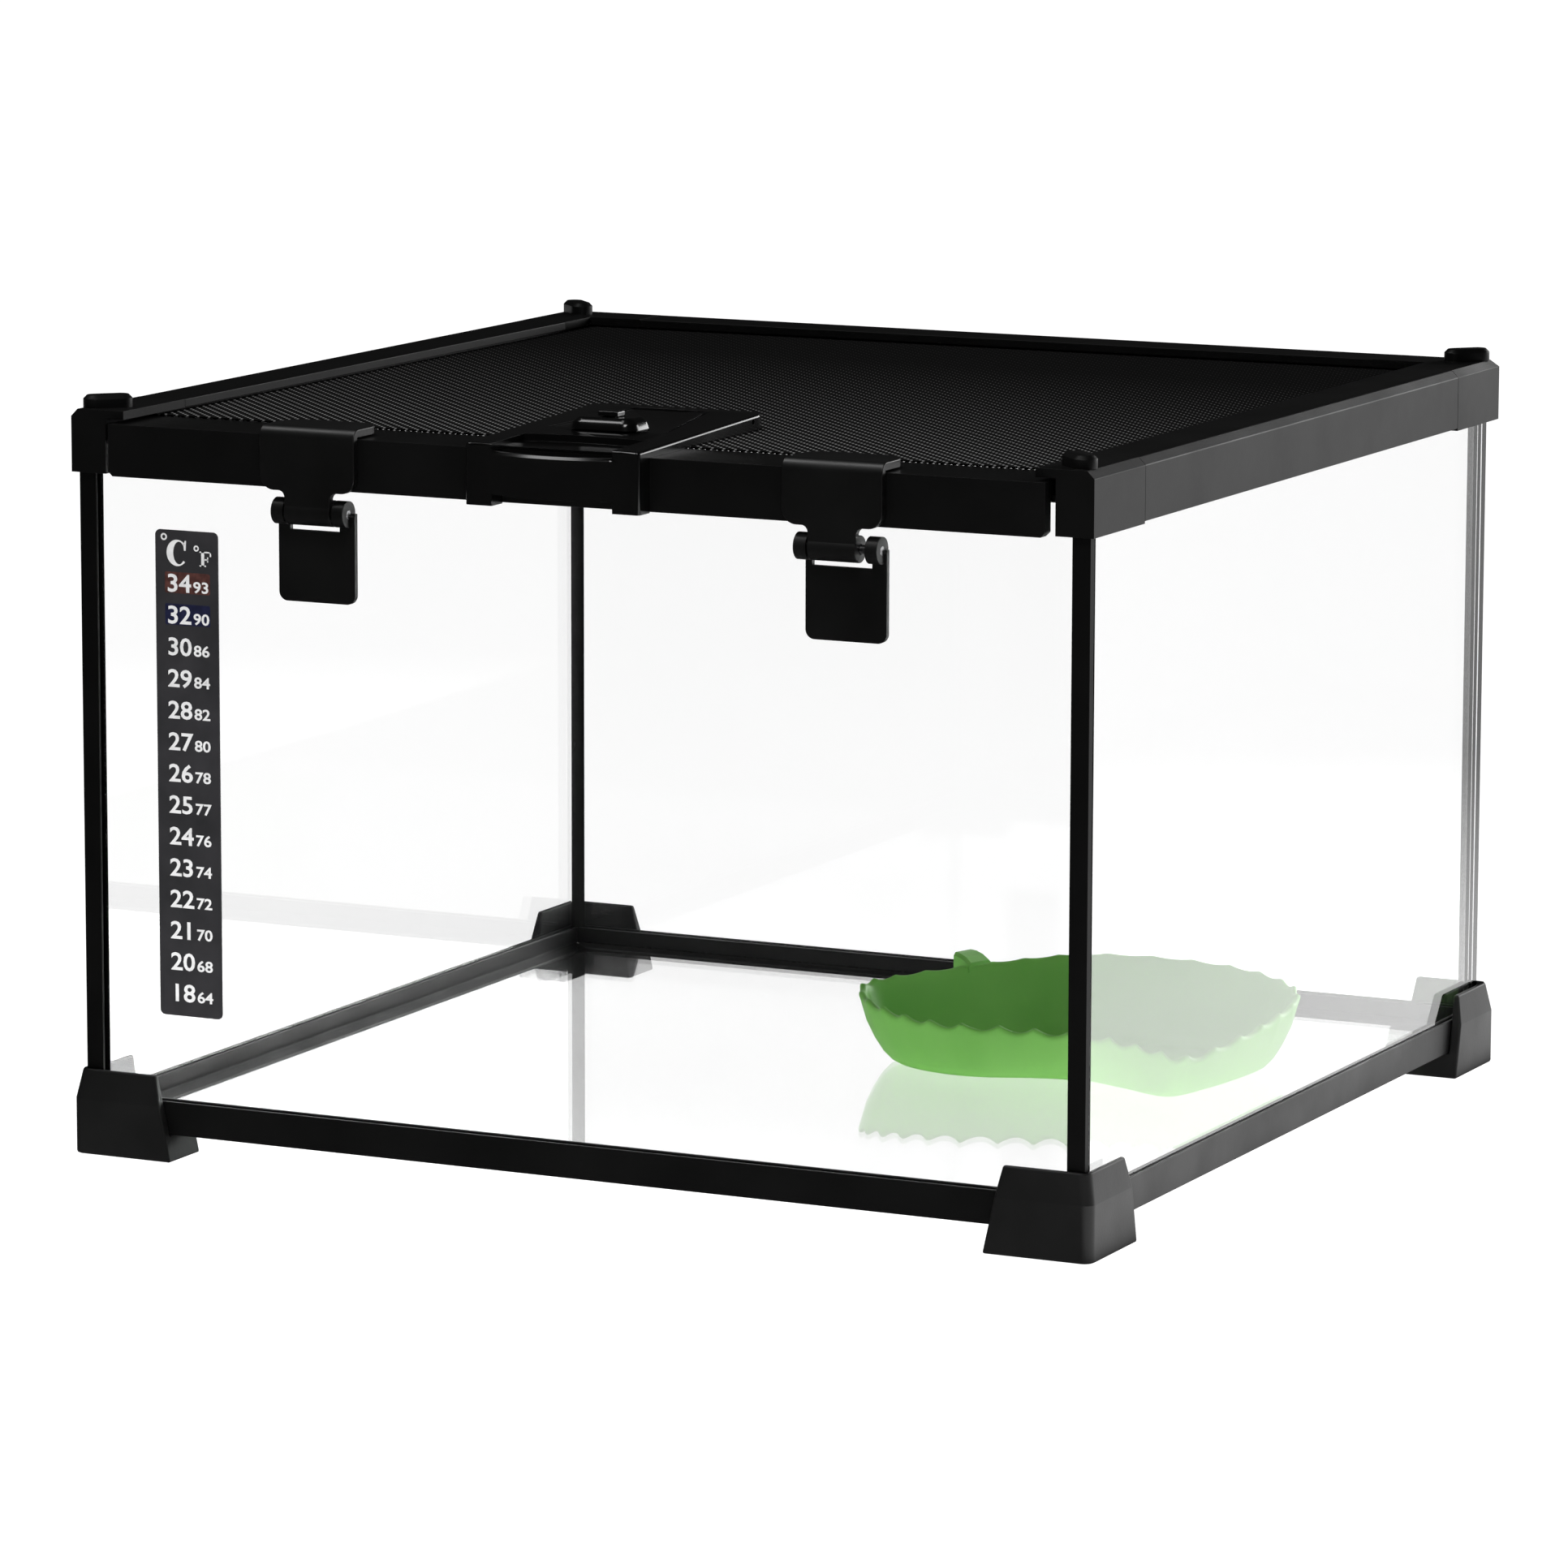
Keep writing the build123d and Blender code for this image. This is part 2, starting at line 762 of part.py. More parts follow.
# Latch: domed housing on the door's front edge, with a thumb slider in its slot
latch_front = recess_front - latch_overhang
latch_back = latch_front + latch_length
latch_bottom = bezel_top(recess_front) + latch_gap
latch_top = latch_bottom + latch_height
slot_back = latch_back - slot_from_back
slot_floor = latch_top - slot_depth
with BuildPart() as latch:
    crown = ((0, 0), (latch_shoulder, latch_shoulder_inset), (latch_height, latch_crown_inset))
    for height, inset in crown:
        with BuildSketch(Plane.XY.offset(latch_bottom + height)):
            with Locations((0, (latch_front + latch_back) / 2)):
                RectangleRounded(
                    latch_width - 2 * inset, latch_length - 2 * inset, latch_corner_radius - inset
                )
    loft(ruled=True)
    foot_back = latch_back - latch_shoulder_inset
    with BuildSketch(Plane.YZ):
        with BuildLine():
            Polyline(
                (door_front, door_top(door_front)),
                (door_front, latch_bottom),
                (foot_back, latch_bottom),
                (foot_back, door_top(foot_back)),
                close=True,
            )
        make_face()
    extrude(amount=latch_foot_width / 2, both=True)
    block(
        (-slot_width / 2, slot_back - slot_length, slot_floor),
        (slot_width / 2, slot_back, latch_top),
        mode=Mode.SUBTRACT,
    )
save(latch, "latch_housing")

with BuildPart() as slider:
    stem_back = slot_back - slider_rest
    stem_half = slot_width / 2 - slider_fit
    tab_bottom = latch_top + slider_fit
    block(
        (-stem_half, stem_back - slider_stem, slot_floor + slider_fit),
        (stem_half, stem_back, tab_bottom),
    )
    tab_middle = stem_back - slider_stem / 2
    block(
        (-slider_width / 2, tab_middle - slider_length / 2, tab_bottom),
        (slider_width / 2, tab_middle + slider_length / 2, tab_bottom + slider_thickness),
    )
    fillet(edges().group_by(Axis.Z)[-1], radius=slider_round)
save(slider, "latch_slider")

# Lid clips: hook over the front rail, and a padded lever hinged under it on a steel pin
hook_face = lid_face - hook_gap - hook_thickness
lip_bottom = lid_top + hook_top_gap
lip_top = lip_bottom + hook_thickness
plate_bottom = lip_top - hook_plate_height
pin_y = -glass_y - knuckle_glass_gap - knuckle_radius
pin_z = lid_bottom - clip_pin_drop
lever_back = -glass_y - pad_gap - pad_thickness
lever_bottom = pin_z - lever_length
slot_bottom = pin_z - knuckle_radius - slot_height


def pin_bore(centre_x, reach):
    """Cut the running bore of a clip's pin through the part at hand."""
    with BuildSketch(Plane.YZ.offset(centre_x)) as bore:
        with Locations((pin_y, pin_z)):
            Circle(clip_pin_radius + pin_clearance)
    extrude(bore.sketch, amount=reach, both=True, mode=Mode.SUBTRACT)


def lid_clip(name, centre_x, play, shift):
    """Hook, pin, lever and foam pad of one clip, its lever loose on the pin and hung to one side."""
    plate_x = centre_x + shift
    left_end = centre_x - neck_width / 2 - knuckle_gap
    right_end = centre_x + neck_width / 2 + knuckle_gap + play
    with BuildPart() as hook:
        with BuildSketch(Plane.YZ.offset(centre_x)):
            with BuildLine():
                Polyline(
                    (hook_face, plate_bottom),
                    (hook_face, lip_top),
                    (hook_face + hook_lip, lip_top),
                    (hook_face + hook_lip, lip_bottom),
                    (hook_face + hook_thickness, lip_bottom),
                    (hook_face + hook_thickness, plate_bottom),
                    close=True,
                )
            make_face()
            fillet(vertices().sort_by_distance((hook_face, lip_top))[0], radius=hook_bend)
        extrude(amount=hook_width / 2, both=True)
        plate_corners = edges().filter_by(Axis.Y).group_by(Axis.Z)[0]
        fillet(plate_corners, radius=hook_corner_radius)
        lip_corners = edges().filter_by(Axis.Z).group_by(Axis.Y)[-1]
        fillet(lip_corners, radius=lip_corner_radius)
        block(
            (centre_x - neck_width / 2, hook_face, pin_z),
            (centre_x + neck_width / 2, hook_face + hook_thickness, plate_bottom + hook_bend),
        )
        for side in (-1, 1):
            root = (centre_x + side * neck_width / 2, hook_face + hook_thickness / 2, plate_bottom)
            fillet(edges().filter_by(Axis.Y).sort_by_distance(root)[0], radius=neck_fillet)
        with BuildSketch(Plane.YZ.offset(centre_x)):
            with Locations((pin_y, pin_z)):
                Circle(knuckle_radius)
        extrude(amount=neck_width / 2, both=True)
        pin_bore(centre_x, neck_width)
    save(hook, f"clip_hook_{name}")

    with BuildPart() as pin:
        with BuildSketch(Plane.YZ.offset(left_end - knuckle_length)):
            with Locations((pin_y, pin_z)):
                Circle(clip_pin_radius)
        extrude(amount=right_end - left_end + 2 * knuckle_length)
    save(pin, f"clip_pin_{name}")

    with BuildPart() as lever:
        with BuildSketch(Plane.XZ.offset(-lever_back)):
            with Locations((plate_x, lever_bottom)):
                Rectangle(lever_width, lever_length, align=(Align.CENTER, Align.MIN))
            fillet(vertices().group_by(Axis.Y)[0], radius=lever_corner_radius)
            with Locations(((left_end + right_end) / 2, slot_bottom)):
                Rectangle(
                    right_end - left_end + 2 * slot_gap,
                    lever_length,
                    align=(Align.CENTER, Align.MIN),
                    mode=Mode.SUBTRACT,
                )
        extrude(amount=lever_thickness)
        for side, end in ((-1, left_end), (1, right_end)):
            with BuildSketch(Plane.YZ.offset(end)):
                with Locations((pin_y, pin_z)):
                    Circle(knuckle_radius)
            extrude(amount=side * knuckle_length)
        pin_bore(centre_x, lever_width)
    save(lever, f"clip_lever_{name}")

    with BuildPart() as pad:
        with BuildSketch(Plane.XZ.offset(-lever_back)):
            with Locations((plate_x, lever_bottom + pad_margin)):
                Rectangle(
                    lever_width - 2 * pad_margin,
                    slot_bottom - lever_bottom - 2 * pad_margin,
                    align=(Align.CENTER, Align.MIN),
                )
            fillet(vertices(), radius=lever_corner_radius - pad_margin)
        extrude(amount=-pad_thickness)
    save(pad, f"clip_pad_{name}")


lid_clip("left", -clip_left, left_lever_play, left_lever_shift)
lid_clip("right", clip_right, right_lever_play, right_lever_shift)


# Food dish: flared leaf bowl with a sloping scalloped rim and a short stem
def leaf_points(inset):
    """Points of the leaf outline, each drawn in towards the middle."""
    shares = [1 - inset / hypot(x, y) for x, y in dish_outline]
    return [(dish_x + x * share, dish_y + y * share) for (x, y), share in zip(dish_outline, shares)]


def leaf_sketch(height, inset):
    """Closed leaf outline at one height."""
    with BuildSketch(Plane.XY.offset(height)) as leaf:
        with BuildLine():
            Spline(*leaf_points(inset), periodic=True)
        make_face()
    return leaf.sketch


def rim_height(x, y):
    """Height of the dish's rim, which rises towards the back and falls towards the right."""
    return dish_bottom + dish_rim + dish_rim_rise * (y - dish_y) - dish_rim_fall * (x - dish_x)


dish_bottom = floor_top + dish_lift
with BuildPart() as dish:
    wall_levels = ((0, dish_flare), (dish_belly_height, dish_belly), (dish_rim + dish_headroom, 0))
    loft([leaf_sketch(dish_bottom + height, inset) for height, inset in wall_levels], ruled=True)
    hollow_bottom = dish_bottom + dish_floor
    hollow = [leaf_sketch(hollow_bottom + height, inset + dish_wall) for height, inset in wall_levels]
    loft(hollow, ruled=True, mode=Mode.SUBTRACT)
    rim_plane = Plane(
        origin=(dish_x, dish_y, rim_height(dish_x, dish_y)), z_dir=(dish_rim_fall, -dish_rim_rise, 1)
    )
    split(bisect_by=rim_plane, keep=Keep.BOTTOM)
    with BuildLine(mode=Mode.PRIVATE):
        rim = Spline(*leaf_points(dish_wall / 2), periodic=True)
    for k in range(scallop_count):
        place = (scallop_start + scallop_span * k / scallop_count) % 1
        x, y, _ = rim @ place
        level = rim_height(x, y) + scallop_radius - scallop_depth
        with BuildSketch(Plane(origin=(x, y, level), z_dir=(x - dish_x, y - dish_y, 0))):
            Circle(scallop_radius)
        extrude(amount=2 * dish_wall, both=True, mode=Mode.SUBTRACT)
    stem_x, stem_y = leaf_points(dish_wall / 2)[stem_place]
    stem_out = Plane(
        origin=(stem_x, stem_y, rim_height(stem_x, stem_y) + stem_rise),
        x_dir=(stem_x - dish_x, stem_y - dish_y, 0),
        z_dir=(0, 0, 1),
    )
    with BuildSketch(stem_out):
        Rectangle(stem_length, stem_width, align=(Align.MIN, Align.CENTER))
    extrude(amount=-stem_height)
save(dish, "food_dish")
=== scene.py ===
"""Looks of a glass small-animal tank with a sliding mesh lid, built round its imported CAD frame."""

import json
import logging
import math
from dataclasses import dataclass, field
from enum import Enum

import bmesh
import bpy
from mathutils import Matrix, Vector


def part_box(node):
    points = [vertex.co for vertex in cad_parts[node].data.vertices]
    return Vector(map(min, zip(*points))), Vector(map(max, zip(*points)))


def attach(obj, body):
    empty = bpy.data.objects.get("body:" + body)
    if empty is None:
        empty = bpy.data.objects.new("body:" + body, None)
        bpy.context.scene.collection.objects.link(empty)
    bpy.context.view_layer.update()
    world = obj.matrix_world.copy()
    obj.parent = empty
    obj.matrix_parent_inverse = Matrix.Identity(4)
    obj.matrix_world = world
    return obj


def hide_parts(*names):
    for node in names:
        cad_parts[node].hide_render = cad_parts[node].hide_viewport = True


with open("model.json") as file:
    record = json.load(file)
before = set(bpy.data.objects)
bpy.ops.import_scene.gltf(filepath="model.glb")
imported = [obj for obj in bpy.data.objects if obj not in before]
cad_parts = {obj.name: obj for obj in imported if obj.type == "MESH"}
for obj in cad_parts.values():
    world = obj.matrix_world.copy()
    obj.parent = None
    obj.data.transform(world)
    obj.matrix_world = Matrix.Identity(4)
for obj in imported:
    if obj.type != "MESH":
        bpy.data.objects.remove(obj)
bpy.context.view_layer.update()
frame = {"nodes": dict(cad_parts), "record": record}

log = logging.getLogger("tank")
MM = 0.001
CREASE_DEG = 32.0
FLAT_DEG = 0.4
MERGE_MM = 0.002
CORNERS = ("front_left", "front_right", "back_left", "back_right")


def srgb(code: str) -> tuple[float, float, float, float]:
    """Turn an sRGB hex colour into linear light.

    Args:
        code: six hex digits after a hash sign.

    Returns:
        Linear red, green, blue and an alpha of 1.
    """
    shades = [int(code[k:k + 2], 16) / 255 for k in (1, 3, 5)]
    linear = [v / 12.92 if v <= 0.04045 else ((v + 0.055) / 1.055) ** 2.4 for v in shades]
    return (linear[0], linear[1], linear[2], 1.0)


def add_node(
    tree: bpy.types.NodeTree,
    kind: str,
    sockets: dict | None = None,
    stops: tuple[tuple[float, str], ...] = (),
    **settings,
) -> bpy.types.Node:
    """Add one node with its settings, input values and links.

    Args:
        tree: the node tree that gets the node.
        kind: the node's type name.
        sockets: input name or number to a value, or to the output socket that feeds it.
        stops: places and sRGB hex colours of a colour ramp, from low to high.
        settings: the node's own properties.

    Returns:
        The new node.
    """
    node = tree.nodes.new(kind)
    for key, value in settings.items():
        setattr(node, key, value)
    for key, value in (sockets or {}).items():
        if isinstance(value, bpy.types.NodeSocket):
            tree.links.new(value, node.inputs[key])
        else:
            node.inputs[key].default_value = value
    for k, (place, code) in enumerate(stops):
        node.color_ramp.elements[k].position = place
        node.color_ramp.elements[k].color = srgb(code)
    return node


def blank_material(name: str) -> tuple[bpy.types.Material, bpy.types.NodeTree]:
    """Make an empty node material.

    Args:
        name: what the surface is made of and how it was made.

    Returns:
        The material and its node tree.
    """
    material = bpy.data.materials.new(name)
    material.use_nodes = True
    material.node_tree.nodes.clear()
    return material, material.node_tree


class Seed(Enum):
    """Shifts that keep one finish's noise from lining up with another's."""

    GRAIN = (0.0, 0.0, 0.0)
    SMUDGE = (3.1, 1.7, 5.3)


def noise(tree: bpy.types.NodeTree, size_mm: float, seed: Seed, detail: float) -> bpy.types.Node:
    """Add a noise pattern of a real size, in Object coordinates.

    Args:
        tree: the material's node tree.
        size_mm: width of one blotch or grain in millimetres.
        seed: shift of the pattern.
        detail: octaves of finer noise.

    Returns:
        The noise node.
    """
    place = add_node(tree, "ShaderNodeTexCoord")
    moved = add_node(tree, "ShaderNodeMapping", {"Vector": place.outputs["Object"], "Location": seed.value})
    return add_node(
        tree,
        "ShaderNodeTexNoise",
        {"Vector": moved.outputs["Vector"], "Scale": 1 / (size_mm * MM), "Detail": detail, "Roughness": 0.55},
    )


@dataclass(frozen=True)
class MouldedPlastic:
    """Injection-moulded plastic: fine mould grain in the gloss, faint handling marks in the roughness."""

    name: str
    dark: str
    light: str
    roughness: tuple[float, float]
    specular: float
    grain_mm: float
    grain_depth_mm: float
    smudge_mm: float = 26.0
    spread: tuple[float, float] = (0.3, 0.7)

    def build(self) -> bpy.types.Material:
        """Build the plastic's material."""
        material, tree = blank_material(self.name)
        grain = noise(tree, self.grain_mm, Seed.GRAIN, 2.0)
        smudge = noise(tree, self.smudge_mm, Seed.SMUDGE, 4.0)
        tone = add_node(
            tree,
            "ShaderNodeValToRGB",
            {"Fac": smudge.outputs["Fac"]},
            stops=((self.spread[0], self.dark), (self.spread[1], self.light)),
        )
        gloss = add_node(
            tree,
            "ShaderNodeMapRange",
            {"Value": smudge.outputs["Fac"], "From Min": self.spread[0], "From Max": self.spread[1],
             "To Min": self.roughness[0], "To Max": self.roughness[1]},
        )
        bump = add_node(
            tree,
            "ShaderNodeBump",
            {"Height": grain.outputs["Fac"], "Strength": 0.6, "Distance": self.grain_depth_mm * MM},
        )
        shader = add_node(
            tree,
            "ShaderNodeBsdfPrincipled",
            {"Base Color": tone.outputs["Color"], "Roughness": gloss.outputs["Result"],
             "Specular IOR Level": self.specular, "IOR": 1.5, "Normal": bump.outputs["Normal"]},
        )
        add_node(tree, "ShaderNodeOutputMaterial", {"Surface": shader.outputs["BSDF"]})
        return material


@dataclass(frozen=True)
class FloatGlass:
    """Clear float glass: mirror-smooth faces, a trace of green, shadows let through."""

    name: str
    tint: str
    shade: str
    wave_mm: float = 90.0
    wave_depth_mm: float = 0.02

    def build(self) -> bpy.types.Material:
        """Build the glass face material."""
        material, tree = blank_material(self.name)
        wave = noise(tree, self.wave_mm, Seed.SMUDGE, 1.0)
        bump = add_node(
            tree,
            "ShaderNodeBump",
            {"Height": wave.outputs["Fac"], "Strength": 0.05, "Distance": self.wave_depth_mm * MM},
        )
        shader = add_node(
            tree,
            "ShaderNodeBsdfPrincipled",
            {"Base Color": srgb(self.tint), "Roughness": 0.0, "IOR": 1.5, "Transmission Weight": 1.0,
             "Normal": bump.outputs["Normal"]},
        )
        clear = add_node(tree, "ShaderNodeBsdfTransparent", {"Color": srgb(self.shade)})
        path = add_node(tree, "ShaderNodeLightPath")
        mix = add_node(
            tree,
            "ShaderNodeMixShader",
            {0: path.outputs["Is Shadow Ray"], 1: shader.outputs["BSDF"], 2: clear.outputs["BSDF"]},
        )
        add_node(tree, "ShaderNodeOutputMaterial", {"Surface": mix.outputs["Shader"]})
        return material


@dataclass(frozen=True)
class GroundEdge:
    """Ground glass edge: the pane's green depth behind a fine grey frosting."""

    name: str
    deep: str
    pale: str
    grit_mm: float = 0.8
    grit_depth_mm: float = 0.05

    def build(self) -> bpy.types.Material:
        """Build the ground edge material."""
        material, tree = blank_material(self.name)
        grit = noise(tree, self.grit_mm, Seed.GRAIN, 3.0)
        tone = add_node(
            tree,
            "ShaderNodeValToRGB",
            {"Fac": grit.outputs["Fac"]},
            stops=((0.35, self.deep), (0.7, self.pale)),
        )
        bump = add_node(
            tree,
            "ShaderNodeBump",
            {"Height": grit.outputs["Fac"], "Strength": 0.5, "Distance": self.grit_depth_mm * MM},
        )
        shader = add_node(
            tree,
            "ShaderNodeBsdfPrincipled",
            {"Base Color": tone.outputs["Color"], "Roughness": 0.35, "IOR": 1.5, "Transmission Weight": 0.55,
             "Normal": bump.outputs["Normal"]},
        )
        add_node(tree, "ShaderNodeOutputMaterial", {"Surface": shader.outputs["BSDF"]})
        return material


@dataclass(frozen=True)
class WovenWire:
    """Coated woven wire: dull black with a painted highlight where each wire crests over the next.

    The screen's wires are straight, so the rise at each crest is a bump of this finish. The painted highlights
    are brightest along the front and fade towards the back, as painted light that falls off away from the front.
    """

    name: str
    valley: str
    crest: str
    pitch_mm: float
    crest_depth_mm: float = 0.12
    # Painted light: the crest highlights are at full strength at the front and dimmer towards the back
    rubbed_y_m: tuple[float, float] = (-0.13, 0.08)
    rubbed_share: tuple[float, float] = (1.0, 0.66)

    def build(self) -> bpy.types.Material:
        """Build the wire material."""
        material, tree = blank_material(self.name)
        place = add_node(tree, "ShaderNodeTexCoord")
        turn = math.pi / (self.pitch_mm * MM)
        scaled = add_node(
            tree,
            "ShaderNodeVectorMath",
            {0: place.outputs["Object"], 1: (turn, turn, turn)},
            operation="MULTIPLY",
        )
        parts = add_node(tree, "ShaderNodeSeparateXYZ", {"Vector": scaled.outputs["Vector"]})
        along_x = add_node(tree, "ShaderNodeMath", {0: parts.outputs["X"]}, operation="COSINE")
        along_y = add_node(tree, "ShaderNodeMath", {0: parts.outputs["Y"]}, operation="COSINE")
        weave = add_node(
            tree,
            "ShaderNodeMath",
            {0: along_x.outputs["Value"], 1: along_y.outputs["Value"]},
            operation="MULTIPLY",
        )
        depth = add_node(tree, "ShaderNodeSeparateXYZ", {"Vector": place.outputs["Object"]})
        # Painted light fall-off: the painted crest highlights dim from the front towards the back
        lit_front = add_node(
            tree,
            "ShaderNodeMapRange",
            {"Value": depth.outputs["Y"], "From Min": self.rubbed_y_m[0], "From Max": self.rubbed_y_m[1],
             "To Min": self.rubbed_share[0], "To Max": self.rubbed_share[1]},
        )
        painted_glint = add_node(
            tree,
            "ShaderNodeMath",
            {0: weave.outputs["Value"], 1: lit_front.outputs["Result"]},
            operation="MULTIPLY",
        )
        # Where the wires cross on top they get the pale colour, a painted highlight
        tone = add_node(
            tree,
            "ShaderNodeValToRGB",
            {"Fac": painted_glint.outputs["Value"]},
            stops=((0.6, self.valley), (1.0, self.crest)),
        )
        bump = add_node(
            tree,
            "ShaderNodeBump",
            {"Height": weave.outputs["Value"], "Strength": 0.7, "Distance": self.crest_depth_mm * MM},
        )
        shader = add_node(
            tree,
            "ShaderNodeBsdfPrincipled",
            {"Base Color": tone.outputs["Color"], "Roughness": 0.6, "Specular IOR Level": 0.1,
             "Normal": bump.outputs["Normal"]},
        )
        add_node(tree, "ShaderNodeOutputMaterial", {"Surface": shader.outputs["BSDF"]})
        return material


@dataclass(frozen=True)
class DrawnSteel:
    """Drawn steel wire: bright metal with fine lines along the pin."""

    name: str
    dark: str
    light: str
    lines_per_m: tuple[float, float, float] = (60.0, 4000.0, 4000.0)

    def build(self) -> bpy.types.Material:
        """Build the steel material."""
        material, tree = blank_material(self.name)
        place = add_node(tree, "ShaderNodeTexCoord")
        stretched = add_node(
            tree, "ShaderNodeMapping", {"Vector": place.outputs["Object"], "Scale": self.lines_per_m}
        )
        lines = add_node(
            tree, "ShaderNodeTexNoise", {"Vector": stretched.outputs["Vector"], "Scale": 1.0, "Detail": 2.0}
        )
        tone = add_node(
            tree,
            "ShaderNodeValToRGB",
            {"Fac": lines.outputs["Fac"]},
            stops=((0.35, self.dark), (0.65, self.light)),
        )
        shader = add_node(
            tree,
            "ShaderNodeBsdfPrincipled",
            {"Base Color": tone.outputs["Color"], "Metallic": 1.0, "Roughness": 0.24},
        )
        add_node(tree, "ShaderNodeOutputMaterial", {"Surface": shader.outputs["BSDF"]})
        return material


Finish = MouldedPlastic | FloatGlass | GroundEdge | WovenWire | DrawnSteel

# A mould's real grain is about 0.1 mm wide, finer than a pixel here, so the moulded grains are drawn coarser

# Frame of polypropylene with a fine spark-eroded mould grain: dull black that greys where it faces the light
FRAME_PLASTIC = MouldedPlastic(
    "polypropylene_moulded_satin", "#0b0b0b", "#0f0f0f",
    roughness=(0.40, 0.52), specular=0.16, grain_mm=0.7, grain_depth_mm=0.02,
)
# Feet from the same plastic with a coarser grain, so that their highlights look soft and sandy
FOOT_PLASTIC = MouldedPlastic(
    "polypropylene_moulded_grained", "#111111", "#181818",
    roughness=(0.42, 0.55), specular=0.3, grain_mm=0.9, grain_depth_mm=0.035,
)
# Bottom rails extruded from it: the fine grain is drawn out, so that their sides shine a little more
RAIL_PLASTIC = MouldedPlastic(
    "polypropylene_extruded_satin", "#0a0a0a", "#0e0e0e",
    roughness=(0.42, 0.55), specular=0.3, grain_mm=0.7, grain_depth_mm=0.02,
)
# Hatch of polished ABS: near-black gloss that holds sharp highlights along its edges
HATCH_PLASTIC = MouldedPlastic(
    "abs_moulded_gloss", "#090909", "#0d0d0d",
    roughness=(0.16, 0.24), specular=0.5, grain_mm=1.4, grain_depth_mm=0.006,
)
# Clips of glass-filled nylon: satin skin, grainy where a fold catches the light
CLIP_PLASTIC = MouldedPlastic(
    "nylon_moulded_satin", "#090909", "#0f0f0f",
    roughness=(0.34, 0.46), specular=0.5, grain_mm=0.55, grain_depth_mm=0.03,
)
# Corner strips of extruded PVC: flat black with a faint sheen
STRIP_PLASTIC = MouldedPlastic(
    "pvc_extruded_matt", "#080808", "#0c0c0c",
    roughness=(0.5, 0.6), specular=0.1, grain_mm=1.2, grain_depth_mm=0.01,
)
# Seal beads of cured silicone: wet-looking black with slow ripples from the gun
SEAL_BEAD = MouldedPlastic(
    "silicone_gunned_black", "#070707", "#0b0b0b",
    roughness=(0.25, 0.4), specular=0.15, grain_mm=6.0, grain_depth_mm=0.12, smudge_mm=18.0,
)
# Dish of dyed melamine: soft leaf green, slightly cloudy, with a low waxy gloss
DISH_PLASTIC = MouldedPlastic(
    "melamine_moulded_green", "#76c251", "#89d263",
    roughness=(0.38, 0.5), specular=0.35, grain_mm=0.9, grain_depth_mm=0.015, smudge_mm=34.0,
)
# Laminated film: near-black print under a satin overlay
FILM = MouldedPlastic(
    "polyester_film_printed", "#2a2a2c", "#363538",
    roughness=(0.3, 0.42), specular=0.3, grain_mm=2.5, grain_depth_mm=0.004, smudge_mm=14.0,
)
# White screen ink on the film, faintly uneven
INK = MouldedPlastic(
    "screen_ink_white", "#dcdcdc", "#ececec",
    roughness=(0.45, 0.55), specular=0.3, grain_mm=0.5, grain_depth_mm=0.004, smudge_mm=3.0,
)
# Warm liquid-crystal window of the film: dull red-brown, cloudy
WARM_WINDOW = MouldedPlastic(
    "liquid_crystal_warm", "#3a2321", "#5f3a34",
    roughness=(0.3, 0.4), specular=0.3, grain_mm=0.6, grain_depth_mm=0.003, smudge_mm=1.6,
)
# Cold liquid-crystal window of the film: deep blue, cloudy
COLD_WINDOW = MouldedPlastic(
    "liquid_crystal_blue", "#16182e", "#1f2244",
    roughness=(0.3, 0.4), specular=0.3, grain_mm=0.6, grain_depth_mm=0.003, smudge_mm=2.4,
)
# Closed-cell foam: dead black, pitted by its cells
FOAM = MouldedPlastic(
    "polyethylene_foam_cut", "#0c0c0c", "#1a1a1a",
    roughness=(0.85, 0.95), specular=0.15, grain_mm=0.6, grain_depth_mm=0.12, smudge_mm=2.0,
)
# Panes of float glass: almost colourless, so that only reflections and edges show them
GLASS = FloatGlass("soda_lime_float", "#fefefe", "#f6f8f7")
# Their edges, ground on a belt: pale green frosting that glows where light runs inside the pane
GLASS_EDGE = GroundEdge("soda_lime_ground_edge", "#5f9d86", "#b7dacb")
# Pins of drawn steel wire: lines 0.25 mm wide along the pin break up its highlight
STEEL = DrawnSteel("steel_wire_drawn", "#9c9c9e", "#d6d6d8")

made: dict[str, bpy.types.Material] = {}


def material_of(finish: Finish) -> bpy.types.Material:
    """Give a finish's material, built the first time it is asked for.

    Args:
        finish: the finish to build.

    Returns:
        Its material.
    """
    if finish.name not in made:
        made[finish.name] = finish.build()
    return made[finish.name]


def body_of_node(node: str) -> str:
    """Name the CAD body that carries a node."""
    bodies = frame["record"]["behaviour"]["bodies"]
    return next(body for body, nodes in bodies.items() if node in nodes)


def place_piece(
    name: str,
    mesh: bpy.types.Mesh,
    finishes: tuple[Finish, ...],
    body: str,
    node: str | None = None,
) -> bpy.types.Object:
    """Put a finished mesh into the scene and tie it to the frame.

    Args:
        name: the piece's name.
        mesh: its mesh, already in place.
        finishes: the finishes for its material slots, or none if the mesh has its own.
        body: the CAD body that it moves with.
        node: the CAD node that it stands for, if any.

    Returns:
        The new object.
    """
    piece = bpy.data.objects.new(name, mesh)
    bpy.context.scene.collection.objects.link(piece)
    if finishes:
        mesh.materials.clear()
        for finish in finishes:
            mesh.materials.append(material_of(finish))
    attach(piece, body)
    if node:
        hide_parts(node)
    log.info("%s: %d faces on %s", name, len(mesh.polygons), body)
    return piece


def mesh_of(shape: bmesh.types.BMesh, name: str) -> bpy.types.Mesh:
    """Turn a mesh in the making into a finished one.

    Args:
        shape: the mesh in the making, which is freed.
        name: the new mesh's name.

    Returns:
        The mesh.
    """
    mesh = bpy.data.meshes.new(name)
    shape.to_mesh(mesh)
    shape.free()
    return mesh


